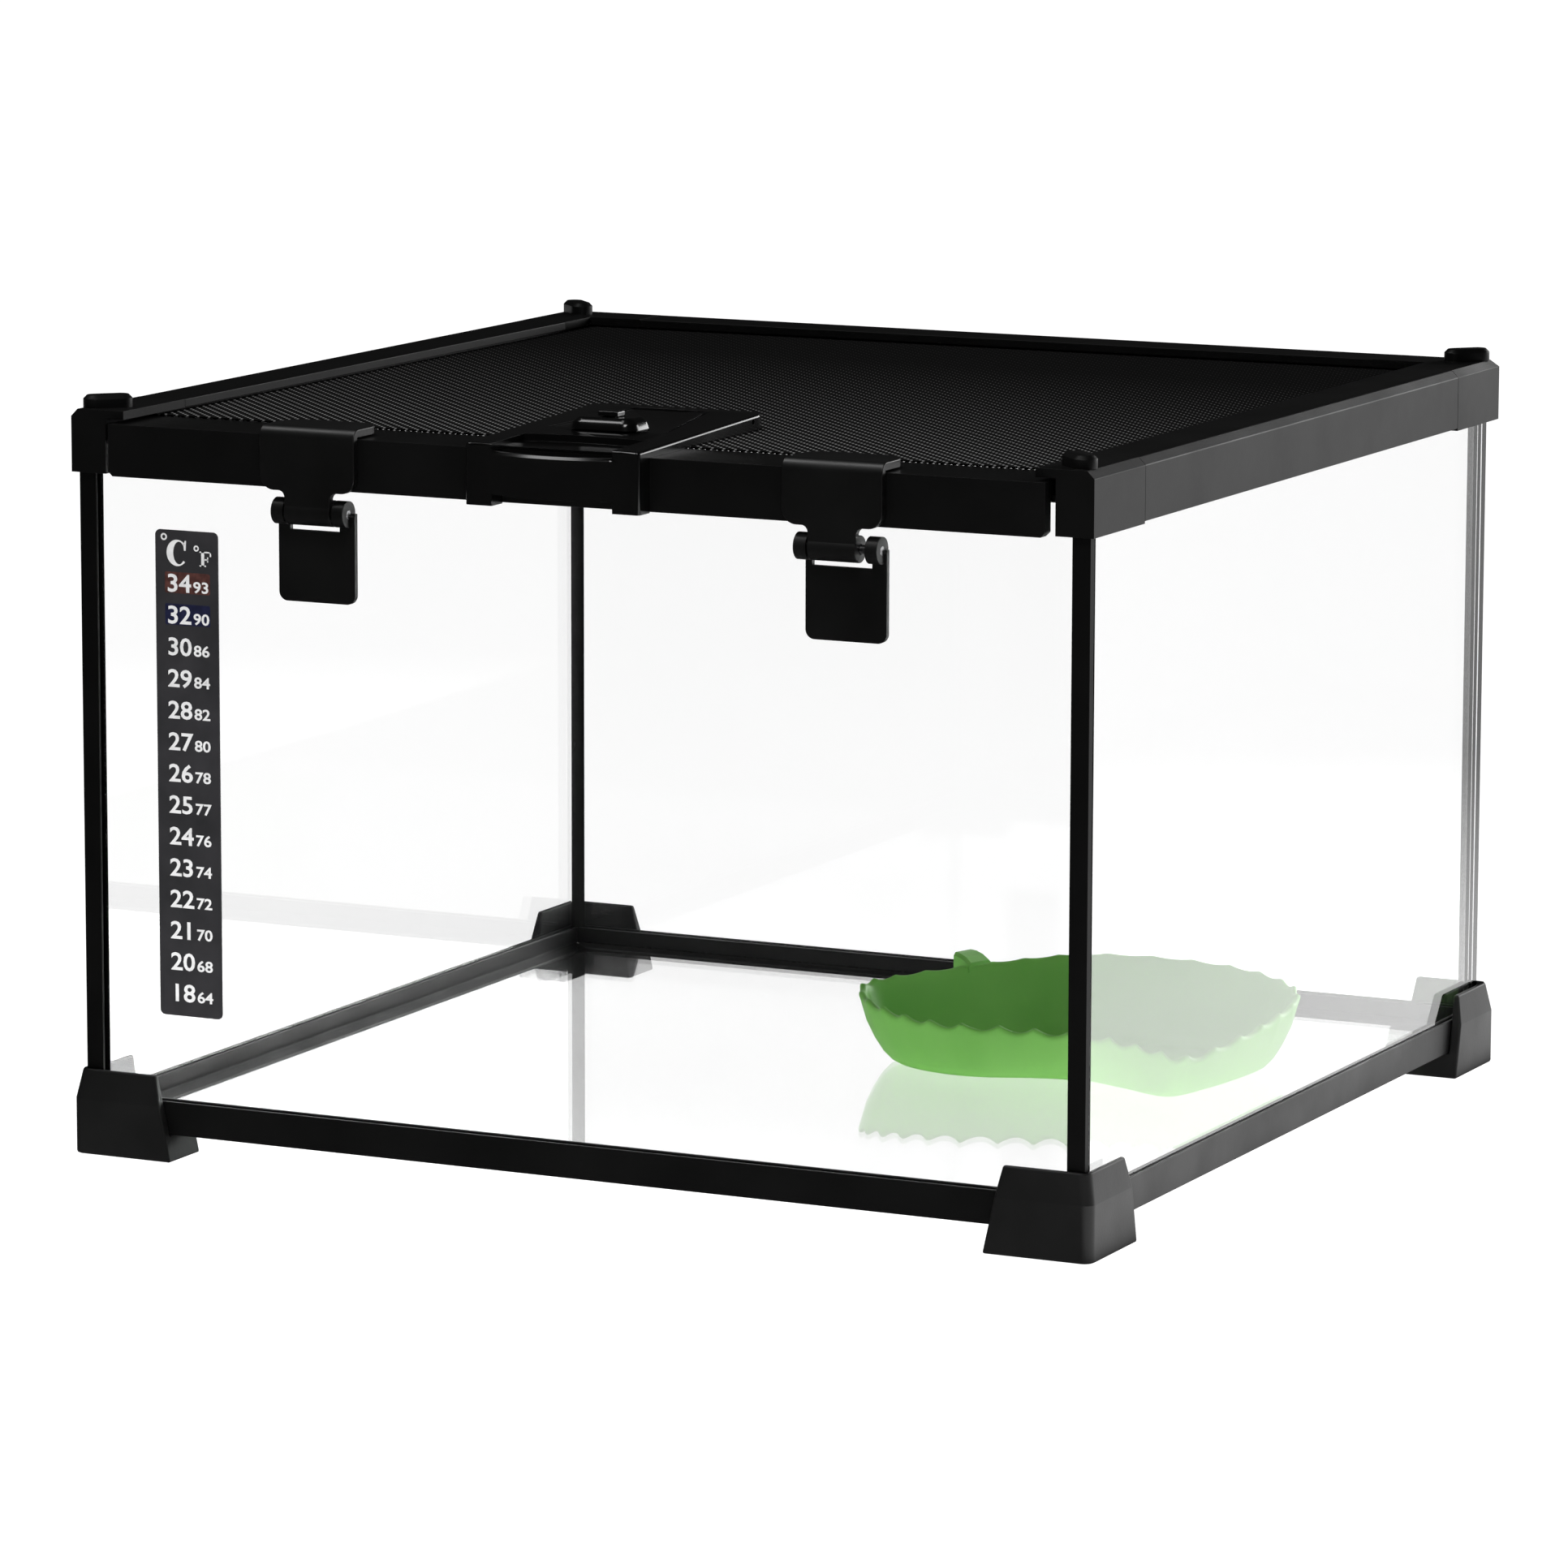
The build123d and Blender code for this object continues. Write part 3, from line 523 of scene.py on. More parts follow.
def baked(piece: bpy.types.Object) -> bpy.types.Mesh:
    """Turn a working object with its modifiers into a plain mesh, and remove the object.

    Args:
        piece: the working object.

    Returns:
        The finished mesh.
    """
    bpy.context.view_layer.update()
    graph = bpy.context.evaluated_depsgraph_get()
    mesh = bpy.data.meshes.new_from_object(piece.evaluated_get(graph), depsgraph=graph)
    bpy.data.objects.remove(piece)
    return mesh


def node_copy(node: str) -> bpy.types.Mesh:
    """Copy a CAD node's mesh, merged and with its flat faces joined up.

    Args:
        node: the CAD node's name.

    Returns:
        The copy.
    """
    source = frame["nodes"][node].data
    shape = bmesh.new()
    shape.from_mesh(source)
    bmesh.ops.remove_doubles(shape, verts=shape.verts, dist=MERGE_MM * MM)
    bmesh.ops.dissolve_limit(
        shape,
        angle_limit=math.radians(FLAT_DEG),
        use_dissolve_boundaries=False,
        verts=shape.verts,
        edges=shape.edges,
    )
    return mesh_of(shape, node)


def softened(mesh: bpy.types.Mesh, edge_mm: float, crease_deg: float = CREASE_DEG) -> bpy.types.Mesh:
    """Round a mesh's sharp edges as a mould or a grinding wheel leaves them.

    Args:
        mesh: the mesh to round.
        edge_mm: width of the rounding in millimetres.
        crease_deg: angle above which an edge counts as sharp.

    Returns:
        The rounded mesh.
    """
    work = bpy.data.objects.new("work", mesh)
    bpy.context.scene.collection.objects.link(work)
    mesh.polygons.foreach_set("use_smooth", [True] * len(mesh.polygons))
    mesh.set_sharp_from_angle(angle=math.radians(crease_deg))
    bevel = work.modifiers.new("edge", "BEVEL")
    bevel.width = edge_mm * MM
    bevel.segments = 2
    bevel.limit_method = "ANGLE"
    bevel.angle_limit = math.radians(crease_deg)
    bevel.harden_normals = True
    return baked(work)


def dress_node(
    node: str,
    finish: Finish,
    edge_mm: float,
    crease_deg: float = CREASE_DEG,
    reshaped: bpy.types.Mesh | None = None,
) -> bpy.types.Object:
    """Replace a rigid CAD node by a copy with softened edges and a finish.

    Args:
        node: the CAD node's name.
        finish: its finish.
        edge_mm: width of its edge rounding in millimetres.
        crease_deg: angle above which an edge counts as sharp.
        reshaped: a copy of the node that was changed first, or none for a plain copy.

    Returns:
        The new piece.
    """
    mesh = softened(reshaped or node_copy(node), edge_mm, crease_deg)
    return place_piece(f"{node}_finished", mesh, (finish,), body_of_node(node), node)


@dataclass
class TankFrame:
    """Feet, bottom rails, corner strips, caps and fixed top rails round the glass."""

    foot_edge_mm: float = 0.6
    rail_edge_mm: float = 0.25
    cap_edge_mm: float = 0.35
    strip_edge_mm: float = 0.15

    def build(self) -> None:
        """Dress every frame node."""
        for corner in CORNERS:
            dress_node(f"foot_{corner}", FOOT_PLASTIC, self.foot_edge_mm)
            dress_node(f"corner_cap_{corner}", FRAME_PLASTIC, self.cap_edge_mm)
            seal = STRIP_PLASTIC if corner.startswith("front") else SEAL_BEAD
            dress_node(f"corner_strip_{corner}", seal, self.strip_edge_mm)
        for side in ("front", "back", "left", "right"):
            dress_node(f"bottom_rail_{side}", RAIL_PLASTIC, self.rail_edge_mm)
        for side in ("left", "right", "back"):
            dress_node(f"top_rail_{side}", FRAME_PLASTIC, self.rail_edge_mm)


@dataclass
class GlassBox:
    """Five float-glass panes with ground edges."""

    arris_mm: float = 0.35
    face_share: float = 0.9

    def build(self) -> None:
        """Build each pane from its CAD box."""
        for side in ("front", "back", "left", "right", "floor"):
            node = f"glass_{side}"
            mesh = self.pane(node)
            place_piece(f"{node}_pane", mesh, (GLASS, GLASS_EDGE), body_of_node(node), node)

    def pane(self, node: str) -> bpy.types.Mesh:
        """Cut one pane and mark its edges as ground.

        Args:
            node: the CAD pane.

        Returns:
            The pane's mesh, faces in slot 0 and edges in slot 1.
        """
        low, high = (Vector(corner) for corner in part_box(node))
        thin = min(range(3), key=lambda axis: high[axis] - low[axis])
        shape = bmesh.new()
        bmesh.ops.create_cube(shape, size=1.0)
        for vert in shape.verts:
            vert.co = Vector([(low[k] + high[k]) / 2 + vert.co[k] * (high[k] - low[k]) for k in range(3)])
        bmesh.ops.bevel(
            shape, geom=shape.edges[:], offset=self.arris_mm * MM, segments=1, affect="EDGES", profile=0.5
        )
        for face in shape.faces:
            across = abs(face.normal[thin]) > self.face_share
            face.material_index = 0 if across else 1
        return mesh_of(shape, node)


@dataclass
class ThermometerStrip:
    """Stick-on film strip with two columns of temperatures and two coloured windows."""

    node: str = "thermometer_strip"
    big_mm: float = 6.6
    big_weight_mm: float = 0.11
    big_stretch: float = 1.14
    small_mm: float = 4.1
    small_weight_mm: float = 0.08
    small_stretch: float = 1.2
    small_rise_mm: float = 0.05
    first_row_mm: float = 153.2
    last_row_mm: float = 43.5
    big_x_mm: float = -119.6
    small_x_mm: float = -111.6
    ink_mm: float = 0.03
    film_edge_mm: float = 0.1
    window_mm: tuple[float, float, float] = (13.7, 0.02, 5.6)
    window_x_mm: float = -113.3
    window_rise_mm: float = 2.4
    window_corner_mm: float = 0.5
    face_y: float = field(init=False)
    rows: tuple[tuple[int, int], ...] = (
        (34, 93), (32, 90), (30, 86), (29, 84), (28, 82), (27, 80), (26, 78),
        (25, 77), (24, 76), (23, 74), (22, 72), (21, 70), (20, 68), (18, 64),
    )

    def __post_init__(self) -> None:
        """Find the film's front face."""
        self.face_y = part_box(self.node)[0][1]

    def build(self) -> None:
        """Build the film, its windows and its print."""
        body = body_of_node(self.node)
        film = softened(node_copy(self.node), self.film_edge_mm)
        place_piece("thermometer_film", film, (FILM,), body, self.node)
        place_piece("thermometer_print", self.print_mesh(), (INK,), body)
        windows = ((0, WARM_WINDOW, "warm"), (1, COLD_WINDOW, "cold"))
        for row, finish, name in windows:
            mesh = self.window_mesh(self.row_height(row))
            place_piece(f"thermometer_window_{name}", mesh, (finish,), body)

    def row_height(self, row: int) -> float:
        """Height of one row's base line in millimetres."""
        return self.first_row_mm + (self.last_row_mm - self.first_row_mm) * row / (len(self.rows) - 1)

    def print_mesh(self) -> bpy.types.Mesh:
        """Set all the signs and numbers as one thin mesh.

        Returns:
            The print's mesh.
        """
        signs = []
        for row, (big, small) in enumerate(self.rows):
            height = self.row_height(row)
            raised = height + self.small_rise_mm
            signs.append((str(big), self.big_mm, self.big_x_mm, height, self.big_weight_mm, self.big_stretch))
            signs.append(
                (str(small), self.small_mm, self.small_x_mm, raised, self.small_weight_mm, self.small_stretch)
            )
        shape = bmesh.new()
        for text, size, x, z, weight, stretch in signs:
            letters = self.letters(text, size, weight)
            letters.transform(
                Matrix.Translation((x * MM, self.face_y - self.ink_mm * MM, z * MM))
                @ Matrix.Rotation(math.pi / 2, 4, "X")
                @ Matrix.Diagonal((stretch, 1, 1, 1))
            )
            shape.from_mesh(letters)
            bpy.data.meshes.remove(letters)
        for outline in self.heading():
            self.add_plate(shape, outline)
        return mesh_of(shape, "thermometer_print")

    def heading(self) -> list[list[tuple[float, float]]]:
        """Draw the two unit signs in a bold book face.

        Returns:
            Convex outlines in the film's plane, in millimetres.
        """
        plates = []
        for x, z, outer, inner in ((-120.3, 167.6, 0.95, 0.5), (-110.5, 165.0, 0.8, 0.42)):
            plates += self.band(x, z, (outer, outer), x, (inner, inner), 0.0, 360.0)
        plates += self.band(-116.3, 163.5, (3.2, 3.5), -115.75, (1.75, 3.0), 42.0, 318.0)
        plates.append([(-114.2, 164.2), (-113.7, 164.2), (-113.55, 166.8), (-113.9, 166.9), (-114.4, 165.7)])
        boxes = (
            (-109.5, -107.6, 160.3, 160.65), (-109.0, -108.1, 160.3, 164.3), (-109.5, -106.0, 163.95, 164.3),
            (-106.4, -106.0, 163.0, 164.3), (-108.2, -106.9, 162.0, 162.35), (-107.2, -106.9, 161.5, 162.85),
        )
        plates += [[(a, c), (b, c), (b, d), (a, d)] for a, b, c, d in boxes]
        return plates

    def band(
        self,
        x: float,
        z: float,
        outer: tuple[float, float],
        inner_x: float,
        inner: tuple[float, float],
        start: float,
        end: float,
    ) -> list[list[tuple[float, float]]]:
        """Split a curved stroke between two ellipses into convex plates.

        Args:
            x: middle of the outer ellipse across the film.
            z: middle of both ellipses in height.
            outer: radii of the outer ellipse.
            inner_x: middle of the inner ellipse across the film.
            inner: radii of the inner ellipse.
            start: first angle in degrees.
            end: last angle in degrees.

        Returns:
            The plates' outlines.
        """
        steps = 28
        turns = [math.radians(start + (end - start) * k / steps) for k in range(steps + 1)]
        edge = [(x + outer[0] * math.cos(t), z + outer[1] * math.sin(t)) for t in turns]
        hole = [(inner_x + inner[0] * math.cos(t), z + inner[1] * math.sin(t)) for t in turns]
        return [[edge[k], edge[k + 1], hole[k + 1], hole[k]] for k in range(steps)]

    def add_plate(self, shape: bmesh.types.BMesh, outline: list[tuple[float, float]]) -> None:
        """Add one thin closed plate of ink.

        Args:
            shape: the print's mesh in the making.
            outline: its corners in the film's plane, in millimetres.
        """
        near = self.face_y - 2 * self.ink_mm * MM
        front = [shape.verts.new((x * MM, near, z * MM)) for x, z in outline]
        back = [shape.verts.new((x * MM, self.face_y, z * MM)) for x, z in outline]
        faces = [shape.faces.new(front), shape.faces.new(back)]
        for k in range(len(outline)):
            n = (k + 1) % len(outline)
            faces.append(shape.faces.new((front[k], front[n], back[n], back[k])))
        bmesh.ops.recalc_face_normals(shape, faces=faces)

    def letters(self, text: str, size_mm: float, weight_mm: float) -> bpy.types.Mesh:
        """Set one short text as a closed thin mesh at the origin.

        Args:
            text: what it says.
            size_mm: type size in millimetres.
            weight_mm: how much the strokes are thickened.

        Returns:
            The text's mesh.
        """
        curve = bpy.data.curves.new("letters", "FONT")
        curve.body = text
        curve.size = size_mm * MM
        curve.offset = weight_mm * MM
        curve.extrude = self.ink_mm * MM
        curve.resolution_u = 3
        work = bpy.data.objects.new("letters", curve)
        bpy.context.scene.collection.objects.link(work)
        return baked(work)

    def window_mesh(self, base_mm: float) -> bpy.types.Mesh:
        """Cut one coloured window as a thin rounded plate.

        Args:
            base_mm: base line of the row that it lies behind.

        Returns:
            The window's mesh.
        """
        shape = bmesh.new()
        bmesh.ops.create_cube(shape, size=1.0)
        middle = Vector((self.window_x_mm, self.face_y / MM, base_mm + self.window_rise_mm))
        for vert in shape.verts:
            vert.co = Vector([middle[k] + vert.co[k] * self.window_mm[k] for k in range(3)]) * MM
        corners = [edge for edge in shape.edges if abs(edge.verts[0].co.y - edge.verts[1].co.y) > 1e-6]
        bmesh.ops.bevel(
            shape, geom=corners, offset=self.window_corner_mm * MM, segments=3, affect="EDGES", profile=0.5
        )
        return mesh_of(shape, "window")


@dataclass
class SlidingLid:
    """Lid's front rail and bars with the wire screen that they carry."""

    pitch_mm: float = 1.65
    wire_mm: float = 0.62
    rail_edge_mm: float = 0.4
    bar_edge_mm: float = 0.2
    window_mm: tuple[float, float, float, float] = (-9.75, 9.75, -115.0, -81.6)
    first_room: float = 0.3
    last_room: float = 1.0

    def build(self) -> None:
        """Dress the bars and lay the screen's wires."""
        dress_node("lid_front_rail", FRAME_PLASTIC, self.rail_edge_mm)
        for node in ("lid_side_bar_left", "lid_side_bar_right", "lid_back_bar"):
            dress_node(node, FRAME_PLASTIC, self.bar_edge_mm)
        # The pale #a8a8a8 is a painted highlight on the wire crests; the black is the coated wire
        wire = WovenWire("steel_wire_woven_coated", "#050505", "#a8a8a8", self.pitch_mm)
        mesh = self.screen_mesh(material_of(wire))
        place_piece("woven_screen", mesh, (), "lid", "mesh_screen")

    def screen_mesh(self, wire: bpy.types.Material) -> bpy.types.Mesh:
        """Lay four areas of wire round the window under the feeding door.

        The wires are straight, at two levels half a wire apart, and run into each other where they cross.

        Args:
            wire: the wires' material.

        Returns:
            The screen as one mesh.
        """
        low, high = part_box("mesh_screen")
        pitch = self.pitch_mm
        left, right, front, back = (edge / pitch for edge in self.window_mm)
        first_line, last_line = self.inside(low[0], high[0])
        first_row, last_row = self.inside(low[1], high[1])
        near_row, far_row = math.floor(front - 1), math.ceil(back)
        near_line, far_line = math.floor(left - 1), math.ceil(right)
        areas = (
            (first_line, last_line, first_row, near_row),
            (first_line, last_line, far_row, last_row),
            (first_line, near_line, near_row + 1, far_row - 1),
            (far_line, last_line, near_row + 1, far_row - 1),
        )
        level = (low[2] + high[2]) / 2
        tree = self.weave_tree()
        shape = bmesh.new()
        for area in areas:
            part = self.area_mesh(tree, area, level, wire)
            shape.from_mesh(part)
            bpy.data.meshes.remove(part)
        mesh = mesh_of(shape, "woven_screen")
        mesh.materials.append(wire)
        return mesh

    def inside(self, low: float, high: float) -> tuple[int, int]:
        """First and last place on the wires' grid between two edges in metres."""
        pitch = self.pitch_mm * MM
        return math.ceil(low / pitch + self.first_room), math.floor(high / pitch - self.last_room)

    def area_mesh(
        self,
        tree: bpy.types.NodeTree,
        area: tuple[int, int, int, int],
        level: float,
        wire: bpy.types.Material,
    ) -> bpy.types.Mesh:
        """Lay one rectangle of the screen on the common grid.

        Args:
            tree: the tree that lays the wires.
            area: first and last line, then first and last row, on the grid.
            level: height between the two levels of wire in metres.
            wire: the wires' material.

        Returns:
            The area's mesh.
        """
        pitch = self.pitch_mm
        lines, rows = area[:2], area[2:]
        work = bpy.data.objects.new("area", bpy.data.meshes.new("area"))
        bpy.context.scene.collection.objects.link(work)
        weave = work.modifiers.new("weave", "NODES")
        weave.node_group = tree
        values = {
            "Lines": lines[1] - lines[0] + 1,
            "Rows": rows[1] - rows[0] + 1,
            "Pitch": pitch * MM,
            "Wire Radius": self.wire_mm * MM / 2,
            "Start": (lines[0] * pitch * MM, rows[0] * pitch * MM, level),
            "Width": (lines[1] - lines[0] + 1) * pitch * MM,
            "Depth": (rows[1] - rows[0] + 1) * pitch * MM,
            "Wire": wire,
        }
        for item in tree.interface.items_tree:
            if item.in_out == "INPUT" and item.name in values:
                weave[item.identifier] = values[item.name]
        return baked(work)

    def weave_tree(self) -> bpy.types.NodeTree:
        """Build the tree that lays crossing wires over a rectangle.

        Returns:
            The Geometry Nodes tree.
        """
        tree = bpy.data.node_groups.new("weave_wires", "GeometryNodeTree")
        tree.interface.new_socket("Geometry", in_out="OUTPUT", socket_type="NodeSocketGeometry")
        for name, kind in (
            ("Lines", "NodeSocketInt"), ("Rows", "NodeSocketInt"), ("Pitch", "NodeSocketFloat"),
            ("Wire Radius", "NodeSocketFloat"), ("Start", "NodeSocketVector"), ("Width", "NodeSocketFloat"),
            ("Depth", "NodeSocketFloat"), ("Wire", "NodeSocketMaterial"),
        ):
            tree.interface.new_socket(name, in_out="INPUT", socket_type=kind)
        given = add_node(tree, "NodeGroupInput")
        profile = add_node(
            tree,
            "GeometryNodeCurvePrimitiveCircle",
            {"Resolution": 5, "Radius": given.outputs["Wire Radius"]},
        )
        laid = []
        for count, length, along, across, lift in (
            ("Rows", "Width", "X", "Y", 0.5), ("Lines", "Depth", "Y", "X", -0.5)
        ):
            step = add_node(tree, "ShaderNodeCombineXYZ", {across: given.outputs["Pitch"]})
            reach = add_node(tree, "ShaderNodeCombineXYZ", {along: given.outputs[length]})
            half = add_node(
                tree, "ShaderNodeVectorMath", {0: reach.outputs["Vector"], "Scale": 0.5}, operation="SCALE"
            )
            back_half = add_node(
                tree, "ShaderNodeVectorMath", {0: reach.outputs["Vector"], "Scale": -0.5}, operation="SCALE"
            )
            raised = add_node(
                tree, "ShaderNodeMath", {0: given.outputs["Wire Radius"], 1: lift}, operation="MULTIPLY"
            )
            height = add_node(tree, "ShaderNodeCombineXYZ", {"Z": raised.outputs["Value"]})
            middle = add_node(
                tree,
                "ShaderNodeVectorMath",
                {0: given.outputs["Start"], 1: half.outputs["Vector"]},
                operation="ADD",
            )
            first = add_node(
                tree,
                "ShaderNodeVectorMath",
                {0: middle.outputs["Vector"], 1: height.outputs["Vector"]},
                operation="ADD",
            )
            spots = add_node(
                tree,
                "GeometryNodeMeshLine",
                {"Count": given.outputs[count], "Start Location": first.outputs["Vector"],
                 "Offset": step.outputs["Vector"]},
            )
            core = add_node(
                tree,
                "GeometryNodeCurvePrimitiveLine",
                {"Start": back_half.outputs["Vector"], "End": half.outputs["Vector"]},
            )
            wire = add_node(
                tree,
                "GeometryNodeCurveToMesh",
                {"Curve": core.outputs["Curve"], "Profile Curve": profile.outputs["Curve"],
                 "Fill Caps": True},
            )
            copies = add_node(
                tree,
                "GeometryNodeInstanceOnPoints",
                {"Points": spots.outputs["Mesh"], "Instance": wire.outputs["Mesh"]},
            )
            laid.append(copies.outputs["Instances"])
        joined = add_node(tree, "GeometryNodeJoinGeometry")
        for output in laid:
            tree.links.new(output, joined.inputs["Geometry"])
        real = add_node(tree, "GeometryNodeRealizeInstances", {"Geometry": joined.outputs["Geometry"]})
        smooth = add_node(tree, "GeometryNodeSetShadeSmooth", {"Geometry": real.outputs["Geometry"]})
        dressed = add_node(
            tree,
            "GeometryNodeSetMaterial",
            {"Geometry": smooth.outputs["Geometry"], "Material": given.outputs["Wire"]},
        )
        add_node(tree, "NodeGroupOutput", {"Geometry": dressed.outputs["Geometry"]})
        return tree


@dataclass
class FeedHatch:
    """Glossy hatch with its feeding door, latch and hinge pin."""

    bezel_edge_mm: float = 0.15
    door_edge_mm: float = 0.2
    pull_edge_mm: float = 0.7
    pull_reach_mm: float = 9.0
    door_side_mm: float = 9.0
    door_trim_mm: float = 0.3
    dome_crease_deg: float = 52.0
    pin_edge_mm: float = 0.1

    def build(self) -> None:
        """Dress the hatch's nodes."""
        bezel = self.pull_chamfered("hatch_bezel")
        door = self.trimmed("feed_door")
        dress_node("hatch_bezel", HATCH_PLASTIC, self.bezel_edge_mm, reshaped=bezel)
        dress_node("feed_door", HATCH_PLASTIC, self.door_edge_mm, reshaped=door)
        dress_node("latch_housing", HATCH_PLASTIC, self.door_edge_mm, self.dome_crease_deg)
        dress_node("latch_slider", HATCH_PLASTIC, self.door_edge_mm)
        dress_node("door_hinge_pin", STEEL, self.pin_edge_mm)

    def pull_chamfered(self, node: str) -> bpy.types.Mesh:
        """Copy the bezel with the bowed pull's top edge chamfered, so that it catches the light as a line.

        Args:
            node: the CAD bezel.

        Returns:
            The chamfered copy.
        """
        mesh = node_copy(node)
        shape = bmesh.new()
        shape.from_mesh(mesh)
        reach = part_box(node)[0][1] + self.pull_reach_mm * MM
        brow = []
        for edge in shape.edges:
            middle = (edge.verts[0].co + edge.verts[1].co) / 2
            sides = [face.normal for face in edge.link_faces]
            under_top = any(normal.z > 0.8 for normal in sides)
            over_front = any(normal.y < -0.6 for normal in sides)
            if under_top and over_front and middle.y < reach:
                brow.append(edge)
        bmesh.ops.bevel(
            shape, geom=brow, offset=self.pull_edge_mm * MM, segments=1, affect="EDGES", profile=0.5
        )
        shape.to_mesh(mesh)
        shape.free()
        return mesh

    def trimmed(self, node: str) -> bpy.types.Mesh:
        """Copy the door with its sides drawn in, so that it swings clear of the recess's back corners.

        Args:
            node: the CAD door.

        Returns:
            The trimmed copy.
        """
        mesh = node_copy(node)
        for vert in mesh.vertices:
            if abs(vert.co.x) > self.door_side_mm * MM:
                vert.co.x -= math.copysign(self.door_trim_mm * MM, vert.co.x)
        return mesh


@dataclass
class LidClip:
    """One lid clip: hook, steel pin, lever and the foam pad behind the lever."""

    side: str
    hook_edge_mm: float = 0.5
    lever_edge_mm: float = 0.35
    pin_edge_mm: float = 0.15
    slot_z_mm: float = 171.1
    slot_find_mm: float = 0.1
    slot_lift_mm: float = 1.1
    pad_cuts: int = 12
    pad_rim: float = 0.55
    pad_corner: float = 0.03

    def build(self) -> None:
        """Dress the clip's nodes and cut its pad."""
        dress_node(f"clip_hook_{self.side}", CLIP_PLASTIC, self.hook_edge_mm)
        lever = f"clip_lever_{self.side}"
        narrowed = self.slot_narrowed(lever)
        dress_node(lever, CLIP_PLASTIC, self.lever_edge_mm, reshaped=narrowed)
        dress_node(f"clip_pin_{self.side}", STEEL, self.pin_edge_mm)
        node = f"clip_pad_{self.side}"
        mesh = self.pad_mesh(node)
        pad = place_piece(f"foam_pad_{self.side}", mesh, (FOAM,), body_of_node(node), node)

    def slot_narrowed(self, node: str) -> bpy.types.Mesh:
        """Copy the lever with its slot's lower edge raised, for a slot as thin as in the photograph.

        Args:
            node: the CAD lever.

        Returns:
            The copy.
        """
        mesh = node_copy(node)
        for vert in mesh.vertices:
            if abs(vert.co.z - self.slot_z_mm * MM) < self.slot_find_mm * MM:
                vert.co.z += self.slot_lift_mm * MM
        return mesh

    def pad_mesh(self, node: str) -> bpy.types.Mesh:
        """Shape the pad as a thin foam sheet, crowned a little and soft at its edges.

        Args:
            node: the CAD pad.

        Returns:
            The pad's mesh.
        """
        low, high = (Vector(corner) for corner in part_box(node))
        middle = (low + high) / 2
        half = (high - low) / 2
        shape = bmesh.new()
        bmesh.ops.create_cube(shape, size=2.0)
        bmesh.ops.subdivide_edges(shape, edges=shape.edges[:], cuts=self.pad_cuts, use_grid_fill=True)
        for vert in shape.verts:
            u, v, w = vert.co
            edge = (1 - abs(u) ** 6) * (1 - abs(w) ** 6)
            round_off = 1 - self.pad_corner * (abs(u) ** 4) * (abs(w) ** 4)
            depth = self.pad_rim + (1 - self.pad_rim) * edge ** 0.4
            vert.co = Vector((
                middle.x + half.x * u * round_off,
                middle.y + half.y * v * depth,
                middle.z + half.z * w * round_off,
            ))
        for face in shape.faces:
            face.smooth = True
        return mesh_of(shape, node)


